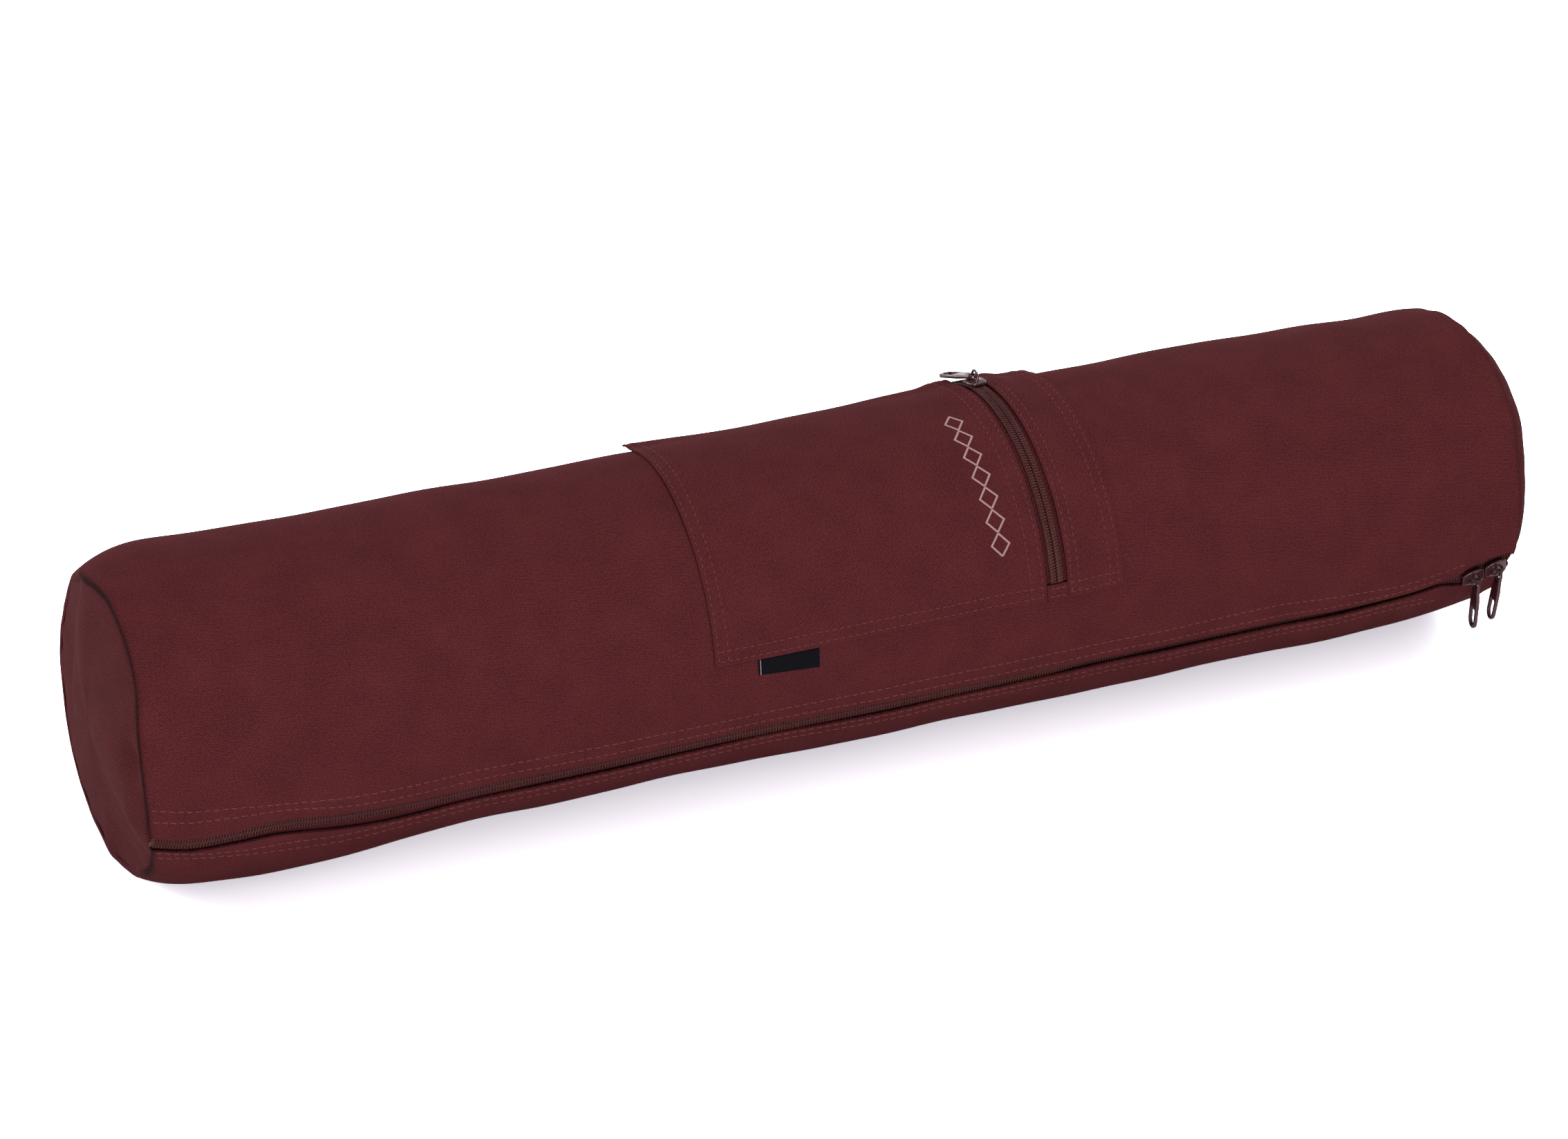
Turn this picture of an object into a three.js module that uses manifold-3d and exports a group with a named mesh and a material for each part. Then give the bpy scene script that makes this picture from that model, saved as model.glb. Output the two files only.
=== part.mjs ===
// A yoga mat bag: a long round canvas bag that lies on its side, closed by a full-length zip with two
// sliders, with a zipped patch pocket on its front and a folded label below the pocket's hem.
// Millimetres. X runs along the bag, -Y is the front with the pocket, +Z is up, and the origin is on the
// flat underside, below the middle of the bag.
// A place on the bag is given by its distance along the bag from the middle, its angle round the bag from
// the front (0 degrees faces -Y, 90 is the top, 180 the back, -90 the underside), and its lift off the cloth.
import * as THREE from "three";
import Module from "manifold-3d";

const wasm = await Module();
wasm.setup();

// Driving dimensions of the bag's body
const bodyLength = 667;
const bodyRadius = 75;
const canvasWall = 1.6;
const floorFlat = 0.8;
const seatGap = 0.3;
const leftBulge = 9;
const leftFullness = 2.4;
const rightBulge = 14;
const rightFullness = 7;
const rightUpperFill = 0.2;
const endInset = 0.5;
const endGap = 0.5;
const endRound = 36;

// Driving dimensions of the long zip
const zipSlot = 8;
const coilWidth = 2.9;
const coilHeight = 2;
const coilSplit = 0.4;
const tapeWall = 1;
const tapeWidth = 14;
const tapeStep = 2.4;

// Driving dimensions of the sliders and their pulls
const sliderLength = 11;
const sliderWide = 9.6;
const sliderNarrow = 6.4;
const sliderWall = 1.3;
const sliderApart = 0.3;
const lastSliderFromSeam = 9.1;
const firstPullLean = 2;
const lastPullLean = 8;
const pullTurn = 5;
const bailBar = 1.3;
const archRadius = 3;
const pullLength = 26;
const pullWidth = 8.5;
const pullWall = 1.7;
const pullRim = 1.7;
const pullSlotLength = 8.5;
const eyeWidth = 6.2;
const eyeHole = 4.2;
const hangGap = 0.85;

// Driving dimensions of the pocket and its label
const pocketWidth = 200;
const pocketFromMiddle = 24;
const pocketHeight = 146;
const pocketHemAngle = 8.6;
const pocketWall = 1.2;
const pocketStripWidth = 28;
const pocketZipSlot = 10.4;
const pocketTapeWidth = 24;
const pocketCoilWidth = 3.1;
const pocketCoilHeight = 1.6;
const pocketTapeWall = 1;
const pocketRamp = 10;
const pocketHemRise = 2;
const pocketHemRoll = 12;
const endTabHeight = 7.4;
const endTabWall = 1.6;
const pocketSliderFromTop = 22.4;
const pocketPullTurn = 14;
const pocketPullDip = 7;
const labelWidth = 29.2;
const labelDrop = 7.4;
const labelWall = 1;
const labelFromPocketEdge = 20.7;

// Values worked out from the dimensions
const halfLength = bodyLength / 2;
const axisHeight = bodyRadius - floorFlat;
const coilDrop = canvasWall + seatGap;
const eyeOuter = eyeWidth / 2;

const radians = (degrees) => (degrees * Math.PI) / 180;
const degreesFor = (arc) => (arc / bodyRadius) * (180 / Math.PI);

// Swells (above 0) and dents (below 0) of the stuffed cloth. along and alongReach are shares of half the
// bag's length, rise is a share of its radius, and angle and angleReach are degrees round it.
const swells = [
  { along: -0.8, alongReach: 0.16, angle: -58, angleReach: 26, rise: 0.058 },
  { along: -0.93, alongReach: 0.1, angle: 112, angleReach: 46, rise: 0.024 },
  { along: -0.2, alongReach: 0.13, angle: -58, angleReach: 34, rise: -0.018 },
  { along: 0.89, alongReach: 0.07, angle: 118, angleReach: 40, rise: -0.024 },
  { along: 1, alongReach: 0.12, angle: -50, angleReach: 34, rise: -0.05 },
  { along: 0.3, alongReach: 0.16, angle: 115, angleReach: 40, rise: 0.014 },
  { along: 0.62, alongReach: 0.2, angle: 150, angleReach: 40, rise: 0.012 },
  { along: -0.45, alongReach: 0.2, angle: 160, angleReach: 44, rise: -0.016 },
];

// How the two end seams wander, at an angle round the bag, as shares of its radius: out is how far a seam
// stands out along the bag, and in how far it draws the cloth in towards the middle.
const endSeams = [
  { angle: -180, leftOut: 0.02, leftIn: 0, rightOut: 0, rightIn: 0.02 },
  { angle: -140, leftOut: 0.04, leftIn: -0.02, rightOut: 0, rightIn: 0.03 },
  { angle: -100, leftOut: 0.02, leftIn: 0.03, rightOut: -0.02, rightIn: 0.04 },
  { angle: -62, leftOut: -0.02, leftIn: 0.085, rightOut: -0.04, rightIn: 0.03 },
  { angle: -32, leftOut: -0.01, leftIn: 0.04, rightOut: -0.035, rightIn: 0.01 },
  { angle: -12, leftOut: 0.036, leftIn: 0, rightOut: -0.015, rightIn: 0 },
  { angle: 20, leftOut: 0.05, leftIn: 0, rightOut: -0.012, rightIn: 0 },
  { angle: 45, leftOut: -0.005, leftIn: 0, rightOut: 0.01, rightIn: -0.01 },
  { angle: 75, leftOut: 0, leftIn: 0.02, rightOut: 0, rightIn: 0 },
  { angle: 100, leftOut: 0.03, leftIn: 0.09, rightOut: 0, rightIn: 0.03 },
  { angle: 125, leftOut: 0, leftIn: 0.1, rightOut: 0, rightIn: 0.05 },
  { angle: 150, leftOut: -0.01, leftIn: 0.06, rightOut: 0, rightIn: 0.03 },
  { angle: 180, leftOut: 0.02, leftIn: 0, rightOut: 0, rightIn: 0.02 },
];

// The crest of the left end panel, as a share of the way from its middle to its rim. Past the crest the
// cloth falls away to the far side of the rim.
const leftCrest = [
  { angle: 95, crest: 1 },
  { angle: 102, crest: 0.93 },
  { angle: 131, crest: 0.52 },
  { angle: 180, crest: 0.37 },
  { angle: 253, crest: 0.34 },
  { angle: 292, crest: 0.57 },
  { angle: 319, crest: 0.92 },
  { angle: 325, crest: 1 },
];

// The course of the long zip: along is a share of half the length, coil the angle of the line between its
// teeth, and above and below are how far the cloth's two edges lie from that line, as shares of the slot.
const zipCourse = [
  { along: -1, coil: -16, above: 0.5, below: 0.62 },
  { along: -0.949, coil: -20.8, above: 0.47, below: 0.53 },
  { along: -0.889, coil: -21.1, above: 0.46, below: 0.52 },
  { along: -0.835, coil: -20.4, above: 0.46, below: 0.62 },
  { along: -0.745, coil: -23.2, above: 0.42, below: 0.82 },
  { along: -0.676, coil: -24.4, above: 0.42, below: 0.98 },
  { along: -0.583, coil: -24.8, above: 0.42, below: 0.76 },
  { along: -0.289, coil: -25, above: 0.41, below: 0.6 },
  { along: 0.103, coil: -25, above: 0.39, below: 0.54 },
  { along: 0.334, coil: -25, above: 0.36, below: 0.32 },
  { along: 0.568, coil: -25, above: 0.3, below: 0.22 },
  { along: 0.73, coil: -25, above: 0.27, below: 0.22 },
  { along: 0.8, coil: -24.4, above: 0.2, below: 0.16 },
  { along: 0.85, coil: -23.6, above: 0.18, below: 0.16 },
  { along: 0.89, coil: -22.5, above: 0.3, below: 0.2 },
  { along: 0.915, coil: -22.5, above: 0.56, below: 0.5 },
  { along: 0.935, coil: -21.4, above: 0.96, below: 0.9 },
  { along: 0.955, coil: -20.2, above: 1, below: 1.1 },
  { along: 0.97, coil: -19, above: 0.94, below: 1.06 },
  { along: 0.985, coil: -18, above: 0.92, below: 0.9 },
  { along: 1, coil: -17.2, above: 0.9, below: 0.8 },
];

// How far the pocket's top hem stands off the bag, as shares of its rise, at a share of its width.
const pocketHemRises = [
  { across: 0, rise: 1 },
  { across: 0.06, rise: 0.95 },
  { across: 0.2, rise: 0.4 },
  { across: 0.36, rise: 0.15 },
  { across: 0.52, rise: 0.2 },
  { across: 0.66, rise: 0.7 },
  { across: 0.8, rise: 1 },
  { across: 0.9, rise: 0.85 },
  { across: 1, rise: 0.5 },
];

// Rows of facets along the bag, as shares of half its length, closer where the cloth bends more.
const bodyRows = [
  -1, -0.985, -0.96, -0.93, -0.89, -0.85, -0.8, -0.745, -0.68, -0.6, -0.48, -0.34, -0.17, 0, 0.17, 0.34,
  0.5, 0.64, 0.74, 0.8, 0.85, 0.89, 0.915, 0.935, 0.955, 0.97, 0.985, 1,
];
const bodyColumns = 44;

// The value of a table's column at a place, on a smooth curve through its rows.
function follow(rows, place, column, at) {
  const last = rows.length - 1;
  const clamped = Math.min(Math.max(at, rows[0][place]), rows[last][place]);
  let i = 0;
  while (i < last - 1 && clamped > rows[i + 1][place]) i += 1;
  const slope = (a, b) => (rows[b][column] - rows[a][column]) / (rows[b][place] - rows[a][place]);
  const width = rows[i + 1][place] - rows[i][place];
  const t = (clamped - rows[i][place]) / width;
  const slopeIn = slope(Math.max(i - 1, 0), i + 1);
  const slopeOut = slope(i, Math.min(i + 2, last));
  const start = rows[i][column] * (1 + 2 * t) * (1 - t) ** 2;
  const end = rows[i + 1][column] * (3 - 2 * t) * t ** 2;
  return start + end + width * (slopeIn * t * (1 - t) ** 2 - slopeOut * (1 - t) * t ** 2);
}

// The smallest turn from one angle to another, in degrees.
function turnBetween(a, b) {
  return ((((a - b) % 360) + 540) % 360) - 180;
}

function smoothStep(t) {
  const held = Math.min(Math.max(t, 0), 1);
  return held * held * (3 - 2 * held);
}

// The cloth's radius at a place, with its swells and dents.
function clothRadius(along, angle) {
  const share = along / halfLength;
  let rise = 0;
  for (const swell of swells) {
    const alongSteps = (share - swell.along) / swell.alongReach;
    const angleSteps = turnBetween(angle, swell.angle) / swell.angleReach;
    rise += swell.rise * Math.exp(-(alongSteps ** 2) - angleSteps ** 2);
  }
  return bodyRadius * (1 + rise);
}

// How the seam at the nearer end moves a place: out along the bag, and in towards its middle.
function seamPull(along, angle) {
  const round = turnBetween(angle, 0);
  const side = along < 0 ? "left" : "right";
  const fromEnd = halfLength - Math.abs(along);
  const out = follow(endSeams, "angle", `${side}Out`, round) * bodyRadius;
  const inwards = follow(endSeams, "angle", `${side}In`, round) * bodyRadius;
  return {
    out: Math.sign(along) * out * (1 - smoothStep(fromEnd / bodyRadius)),
    inwards: inwards * Math.max(1 - fromEnd / endRound, 0) ** 3,
  };
}

// A point on the bag, lifted off the outside of the cloth, or sunk into it where lift is below 0.
function bagPoint(along, angle, lift) {
  const pull = seamPull(along, angle);
  const radius = clothRadius(along, angle) - pull.inwards + lift;
  const y = -radius * Math.cos(radians(angle));
  const z = axisHeight + radius * Math.sin(radians(angle));
  return new THREE.Vector3(along + pull.out, y, Math.max(z, -lift));
}

const zipAngle = (along) => follow(zipCourse, "along", "coil", along / halfLength);
const upperEdge = (along) =>
  zipAngle(along) + degreesFor(zipSlot * follow(zipCourse, "along", "above", along / halfLength));
const lowerEdge = (along) =>
  zipAngle(along) - degreesFor(zipSlot * follow(zipCourse, "along", "below", along / halfLength));

// A closed solid from points and triangles, with its faces turned outwards.
function closedSolid(points, triangles) {
  let volume = 0;
  for (const [a, b, c] of triangles) {
    volume += points[a].dot(new THREE.Vector3().crossVectors(points[b], points[c])) / 6;
  }
  const outward = volume < 0 ? triangles.map(([a, b, c]) => [a, c, b]) : triangles;
  const geometry = new THREE.BufferGeometry().setFromPoints(points);
  geometry.setIndex(outward.flat());
  geometry.computeVertexNormals();
  return geometry;
}

// A wall of cloth: two grids of points, outside and inside, closed round their edges.
function wall(rows, columns, pointAt) {
  const points = [];
  for (const side of [0, 1]) {
    for (let i = 0; i < rows; i += 1) {
      for (let j = 0; j < columns; j += 1) points.push(pointAt(i, j, side));
    }
  }
  const at = (side, i, j) => (side * rows + i) * columns + j;
  const triangles = [];
  const quad = (a, b, c, d) => triangles.push([a, b, c], [a, c, d]);
  for (let i = 0; i < rows - 1; i += 1) {
    for (let j = 0; j < columns - 1; j += 1) {
      quad(at(0, i, j), at(0, i + 1, j), at(0, i + 1, j + 1), at(0, i, j + 1));
      quad(at(1, i, j), at(1, i, j + 1), at(1, i + 1, j + 1), at(1, i + 1, j));
    }
    quad(at(0, i, 0), at(1, i, 0), at(1, i + 1, 0), at(0, i + 1, 0));
    const end = columns - 1;
    quad(at(0, i, end), at(0, i + 1, end), at(1, i + 1, end), at(1, i, end));
  }
  for (let j = 0; j < columns - 1; j += 1) {
    quad(at(0, 0, j), at(0, 0, j + 1), at(1, 0, j + 1), at(1, 0, j));
    const end = rows - 1;
    quad(at(0, end, j), at(1, end, j), at(1, end, j + 1), at(0, end, j + 1));
  }
  return closedSolid(points, triangles);
}

// A bar lofted through rings of points, closed by a flat cap at each end.
function loft(rings) {
  const count = rings[0].length;
  const triangles = [];
  for (let i = 0; i < rings.length - 1; i += 1) {
    for (let j = 0; j < count; j += 1) {
      const a = i * count + j;
      const b = i * count + ((j + 1) % count);
      triangles.push([a, b, b + count], [a, b + count, a + count]);
    }
  }
  const last = (rings.length - 1) * count;
  for (let j = 1; j < count - 1; j += 1) {
    triangles.push([0, j + 1, j], [last, last + j, last + j + 1]);
  }
  return closedSolid(rings.flat(), triangles);
}

function evenly(from, to, steps) {
  return Array.from({ length: steps + 1 }, (_, i) => from + ((to - from) * i) / steps);
}

// The rolled canvas, from the zip's upper edge over the top, the back and the underside to its lower edge.
function bodyPanel() {
  return wall(bodyRows.length, bodyColumns, (i, j, side) => {
    const along = bodyRows[i] * halfLength;
    const share = j / (bodyColumns - 1);
    const angle = upperEdge(along) + share * (360 + lowerEdge(along) - upperEdge(along));
    return bagPoint(along, angle, -canvasWall * side);
  });
}

// The end panels are domes, on rings of points from the rim to the middle.
const endRings = [1, 0.96, 0.89, 0.78, 0.62, 0.42, 0.2];
const endSectors = 36;
const crestFall = 0.66;
const crestReach = 0.26;

function leftDome(share, angle) {
  const dome = leftBulge * (1 - share ** leftFullness);
  const round = ((angle % 360) + 360) % 360;
  const pastCrest = (share - follow(leftCrest, "angle", "crest", round)) / crestReach;
  return dome * (1 - crestFall * smoothStep(pastCrest));
}

function rightDome(share, angle) {
  return rightBulge * (1 - share ** rightFullness) * (1 + rightUpperFill * share * Math.sin(radians(angle)));
}

function endPanel(direction, dome) {
  const rim = halfLength - endInset;
  const onPanel = (share, angle, side) => {
    const depth = rim - canvasWall * side;
    const edge = bagPoint(direction * depth, angle, -(canvasWall + endGap));
    const wave = (edge.x - direction * depth) * share;
    const x = direction * (depth + dome(share, angle)) + wave;
    return new THREE.Vector3(x, edge.y * share, axisHeight + (edge.z - axisHeight) * share);
  };
  const points = [];
  for (const side of [0, 1]) {
    for (const share of endRings) {
      for (let j = 0; j < endSectors; j += 1) points.push(onPanel(share, (360 * j) / endSectors, side));
    }
    points.push(onPanel(0, 0, side));
  }
  const perSide = endRings.length * endSectors + 1;
  const at = (side, ring, j) => side * perSide + ring * endSectors + (j % endSectors);
  const triangles = [];
  const quad = (a, b, c, d) => triangles.push([a, b, c], [a, c, d]);
  const innermost = endRings.length - 1;
  for (let j = 0; j < endSectors; j += 1) {
    for (let ring = 0; ring < innermost; ring += 1) {
      quad(at(0, ring, j), at(0, ring, j + 1), at(0, ring + 1, j + 1), at(0, ring + 1, j));
      quad(at(1, ring, j), at(1, ring + 1, j), at(1, ring + 1, j + 1), at(1, ring, j + 1));
    }
    triangles.push([at(0, innermost, j), at(0, innermost, j + 1), perSide - 1]);
    triangles.push([at(1, innermost, j), 2 * perSide - 1, at(1, innermost, j + 1)]);
    quad(at(0, 0, j), at(1, 0, j), at(1, 0, j + 1), at(0, 0, j + 1));
  }
  return closedSolid(points, triangles);
}

// Rows of facets along the long zip, which stops just inside the end panels.
const zipEnd = halfLength - endInset - canvasWall - endGap;
const zipRows = bodyRows.map((share) => Math.min(Math.max(share * halfLength, -zipEnd), zipEnd));

// One tape of the long zip. It lies against the inside of the canvas, and dips below the teeth.
function longTape(upwards) {
  const inner = coilSplit / 2;
  const flatEnd = coilSplit / 2 + coilWidth + seatGap;
  const across = [inner, flatEnd, flatEnd + tapeStep, tapeWidth];
  const top = -(coilDrop + coilHeight + seatGap);
  const lifts = [top, top, -coilDrop, -coilDrop];
  return wall(zipRows.length, across.length, (i, j, side) => {
    const angle = zipAngle(zipRows[i]) + upwards * degreesFor(across[j]);
    return bagPoint(zipRows[i], angle, lifts[j] - tapeWall * side);
  });
}

// One row of teeth, as a bar with sloping shoulders.
function coilRing(inner, base, width, height, pointAt) {
  const section = [
    { across: 0, up: 0 },
    { across: 1, up: 0 },
    { across: 1, up: 0.55 },
    { across: 0.72, up: 1 },
    { across: 0.28, up: 1 },
    { across: 0, up: 0.7 },
  ];
  return section.map(({ across, up }) => pointAt(inner + across * width, base + up * height));
}

function longCoil(upwards) {
  const base = -(coilDrop + coilHeight);
  const rings = zipRows.map((along) =>
    coilRing(coilSplit / 2, base, coilWidth, coilHeight, (across, lift) =>
      bagPoint(along, zipAngle(along) + upwards * degreesFor(across), lift),
    ),
  );
  return loft(rings);
}

// Booleans, for the pieces that are joined from several shapes.
function toSolid(geometry) {
  const position = geometry.getAttribute("position");
  const places = new Map();
  const vertices = [];
  const corners = [];
  const order = geometry.index ? geometry.index.array : Array(position.count).keys();
  for (const i of order) {
    const corner = [position.getX(i), position.getY(i), position.getZ(i)];
    const key = corner.map((value) => Math.round(value * 1e4)).join(" ");
    if (!places.has(key)) {
      places.set(key, places.size);
      vertices.push(...corner);
    }
    corners.push(places.get(key));
  }
  const kept = [];
  for (let i = 0; i < corners.length; i += 3) {
    const [a, b, c] = corners.slice(i, i + 3);
    if (a !== b && b !== c && c !== a) kept.push(a, b, c);
  }
  const mesh = { numProp: 3, vertProperties: new Float32Array(vertices), triVerts: new Uint32Array(kept) };
  return new wasm.Manifold(new wasm.Mesh(mesh));
}

function toGeometry(solid) {
  const mesh = solid.getMesh();
  const geometry = new THREE.BufferGeometry();
  geometry.setAttribute("position", new THREE.BufferAttribute(new Float32Array(mesh.vertProperties), 3));
  geometry.setIndex(Array.from(mesh.triVerts));
  geometry.computeVertexNormals();
  return geometry;
}

function extruded(shape, depth, curveSegments) {
  return new THREE.ExtrudeGeometry(shape, { depth, bevelEnabled: false, curveSegments });
}

// A slider in its own frame: X along the zip, Y across it, Z out of the bag, and 0 under its top plate.
// keel is how far its middle reaches down between the cloth's edges, to the teeth, and archMiddle is the
// height of the middle of its bail's arch.
function sliderBody(keel, keelWidth, archMiddle) {
  const half = sliderLength / 2;
  const outline = new THREE.Shape([
    new THREE.Vector2(-half, -sliderNarrow / 2),
    new THREE.Vector2(-half * 0.25, -sliderWide / 2),
    new THREE.Vector2(half * 0.7, -sliderWide / 2),
    new THREE.Vector2(half, -sliderNarrow / 2),
    new THREE.Vector2(half, sliderNarrow / 2),
    new THREE.Vector2(half * 0.7, sliderWide / 2),
    new THREE.Vector2(-half * 0.25, sliderWide / 2),
    new THREE.Vector2(-half, sliderNarrow / 2),
  ]);
  let body = toSolid(extruded(outline, sliderWall, 4));
  const keelBox = new THREE.BoxGeometry(sliderLength * 0.7, keelWidth, keel + sliderWall / 2);
  keelBox.translate(0, 0, -keel + (keel + sliderWall / 2) / 2);
  body = body.add(toSolid(keelBox));
  const foot = sliderWall / 2;
  const arch = Array.from({ length: 9 }, (_, i) => {
    const turn = Math.PI * (1 - i / 8);
    return new THREE.Vector3(archRadius * Math.cos(turn), 0, archMiddle + archRadius * Math.sin(turn));
  });
  const route = [
    new THREE.Vector3(-archRadius, 0, foot),
    ...arch,
    new THREE.Vector3(archRadius, 0, foot),
  ];
  const rings = route.map((centre, i) => {
    const before = route[Math.max(i - 1, 0)];
    const after = route[Math.min(i + 1, route.length - 1)];
    const forward = new THREE.Vector3().subVectors(after, before).normalize();
    const sideways = new THREE.Vector3(0, 1, 0);
    const outwards = new THREE.Vector3().crossVectors(forward, sideways).normalize();
    return Array.from({ length: 8 }, (_, k) => {
      const turn = (Math.PI * (2 * k + 1)) / 8;
      return centre
        .clone()
        .addScaledVector(sideways, (bailBar / 2) * Math.cos(turn))
        .addScaledVector(outwards, (bailBar / 2) * Math.sin(turn));
    });
  });
  return toGeometry(body.add(toSolid(loft(rings))));
}

// A pull in its own frame: X from the eye's centre to the far end, Y across it, Z through its thickness.
function pullPlate() {
  const tip = pullLength - eyeOuter;
  const half = pullWidth / 2;
  const outline = new THREE.Shape();
  outline.moveTo(0, -eyeOuter);
  outline.lineTo(eyeOuter, -eyeOuter);
  outline.lineTo(eyeOuter + half, -half);
  outline.lineTo(tip - half, -half);
  outline.absarc(tip - half, 0, half, -Math.PI / 2, Math.PI / 2, false);
  outline.lineTo(eyeOuter + half, half);
  outline.lineTo(eyeOuter, eyeOuter);
  outline.lineTo(0, eyeOuter);
  outline.absarc(0, 0, eyeOuter, Math.PI / 2, (3 * Math.PI) / 2, false);
  const eye = new THREE.Path();
  eye.absarc(0, 0, eyeHole / 2, 0, 2 * Math.PI, true);
  const slotHalf = half - pullRim;
  const slot = new THREE.Path();
  slot.moveTo(tip - pullRim - pullSlotLength, -slotHalf);
  slot.lineTo(tip - pullRim - pullSlotLength, slotHalf);
  slot.lineTo(tip - half, slotHalf);
  slot.absarc(tip - half, 0, slotHalf, Math.PI / 2, -Math.PI / 2, true);
  slot.closePath();
  outline.holes.push(eye, slot);
  const plate = extruded(outline, pullWall, 8);
  plate.translate(0, 0, -pullWall / 2);
  return toGeometry(toSolid(plate));
}

// The pocket's edges along the bag, and how its cloth rises over the zip's tape.
const pocketLeft = pocketFromMiddle - pocketWidth / 2;
const pocketRight = pocketFromMiddle + pocketWidth / 2;
const pocketZipRight = pocketRight - pocketStripWidth;
const pocketZipLeft = pocketZipRight - pocketZipSlot;
const pocketZipMiddle = (pocketZipLeft + pocketZipRight) / 2;
const pocketTopAngle = pocketHemAngle + degreesFor(pocketHeight);

function pocketLift(along, angle) {
  const fromTape = Math.abs(along - pocketZipMiddle) - pocketTapeWidth / 2 - seatGap;
  const fromTop = radians(pocketTopAngle - angle) * bodyRadius;
  const overTape = (pocketTapeWall + seatGap) * (1 - smoothStep(fromTape / pocketRamp));
  const rise = pocketHemRise * follow(pocketHemRises, "across", "rise", (along - pocketLeft) / pocketWidth);
  return seatGap + overTape + rise * (1 - smoothStep(fromTop / pocketHemRoll));
}

function pocketCloth(alongs, angles) {
  return wall(alongs.length, angles.length, (i, j, side) =>
    bagPoint(alongs[i], angles[j], pocketLift(alongs[i], angles[j]) + pocketWall * (1 - side)),
  );
}

const pocketHemRollAngle = pocketTopAngle - degreesFor(pocketHemRoll);
const pocketAngles = [
  ...evenly(pocketHemAngle, pocketHemRollAngle, 12),
  ...evenly(pocketHemRollAngle, pocketTopAngle, 3).slice(1),
];
const tapeStart = pocketZipMiddle - pocketTapeWidth / 2 - seatGap;
const tapeFinish = pocketZipMiddle + pocketTapeWidth / 2 + seatGap;
const pocketAlongs = [
  ...evenly(pocketLeft, tapeStart - pocketRamp, 6),
  ...evenly(tapeStart - pocketRamp, tapeStart, 3).slice(1),
  pocketZipLeft,
];
const stripAlongs = [pocketZipRight, ...evenly(tapeFinish, pocketRight, 3)];

// The pocket's zip runs round the bag, from above the end tab to the pocket's top edge.
const endTabTop = pocketHemAngle + degreesFor(endTabHeight);
const pocketZipAngles = evenly(endTabTop + degreesFor(seatGap), pocketTopAngle, 14);
const pocketCoilBase = seatGap + pocketTapeWall + seatGap;

function pocketTape() {
  const edges = [pocketZipMiddle - pocketTapeWidth / 2, pocketZipMiddle + pocketTapeWidth / 2];
  return wall(edges.length, pocketZipAngles.length, (i, j, side) =>
    bagPoint(edges[i], pocketZipAngles[j], seatGap + pocketTapeWall * (1 - side)),
  );
}

function pocketCoil(direction) {
  const rings = pocketZipAngles.map((angle) =>
    coilRing(coilSplit / 2, pocketCoilBase, pocketCoilWidth, pocketCoilHeight, (across, lift) =>
      bagPoint(pocketZipMiddle + direction * across, angle, lift),
    ),
  );
  return loft(rings);
}

// A small strip on the cloth, between two places along the bag and two angles.
function patch(fromAlong, toAlong, fromAngle, toAngle, lift, thickness) {
  const alongs = evenly(fromAlong, toAlong, 2);
  const angles = evenly(fromAngle, toAngle, 2);
  return wall(alongs.length, angles.length, (i, j, side) =>
    bagPoint(alongs[i], angles[j], lift + thickness * (1 - side)),
  );
}

// The frame of a piece that sits on the bag: its place, the way along, the way across, and outwards.
function frameAt(point, forward, outward) {
  const z = outward.clone().normalize();
  const x = forward.clone().addScaledVector(z, -forward.dot(z)).normalize();
  const y = new THREE.Vector3().crossVectors(z, x);
  return new THREE.Matrix4().makeBasis(x, y, z).setPosition(point);
}

function outwardAt(angle) {
  return new THREE.Vector3(0, -Math.cos(radians(angle)), Math.sin(radians(angle)));
}

const sliderLift = seatGap;
const sliderKeel = coilDrop + sliderLift - seatGap;
const lastSliderAlong = halfLength - lastSliderFromSeam;
const firstSliderAlong = lastSliderAlong - sliderLength - sliderApart;

function longSliderFrame(along) {
  const step = sliderLength / 4;
  const behind = bagPoint(along - step, zipAngle(along - step), sliderLift);
  const ahead = bagPoint(along + step, zipAngle(along + step), sliderLift);
  const point = bagPoint(along, zipAngle(along), sliderLift);
  return frameAt(point, ahead.sub(behind), outwardAt(zipAngle(along)));
}

// A pull that hangs from the top of its slider's bail, leaning by some degrees towards the bag's left end.
// The bail of a long zip's slider leaves room for the pull's eye to swing over the plate.
const longBarHeight = sliderWall + eyeOuter + seatGap;

function hangingPullFrame(sliderFrame, lean) {
  const bar = new THREE.Vector3(0, 0, longBarHeight).applyMatrix4(sliderFrame);
  const down = new THREE.Vector3(-Math.sin(radians(lean)), 0, -Math.cos(radians(lean)));
  const thickness = new THREE.Vector3().setFromMatrixColumn(sliderFrame, 0);
  thickness.addScaledVector(down, -down.dot(thickness)).normalize().applyAxisAngle(down, radians(pullTurn));
  const across = new THREE.Vector3().crossVectors(thickness, down);
  const eyeCentre = bar.addScaledVector(down, eyeHole / 2 - bailBar / 2 - hangGap);
  return new THREE.Matrix4().makeBasis(down, across, thickness).setPosition(eyeCentre);
}

const pocketSliderLift = pocketCoilBase + pocketCoilHeight + seatGap;
const pocketSliderAngle = pocketTopAngle - degreesFor(pocketSliderFromTop);

function pocketSliderFrame() {
  const outward = outwardAt(pocketSliderAngle);
  const point = bagPoint(pocketZipMiddle, pocketSliderAngle, pocketSliderLift);
  return frameAt(point, new THREE.Vector3(-1, 0, 0).cross(outward), outward);
}

// The pocket's pull lies back over its slider, turned to the left. Its eye is a ring centred on the bail's
// far leg, so it keeps clear of the bail as it swings about the middle of the bail's arch.
const pocketArchMiddle = sliderWall + 2 * seatGap + pullWall / 2 + bailBar / 4;

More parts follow.
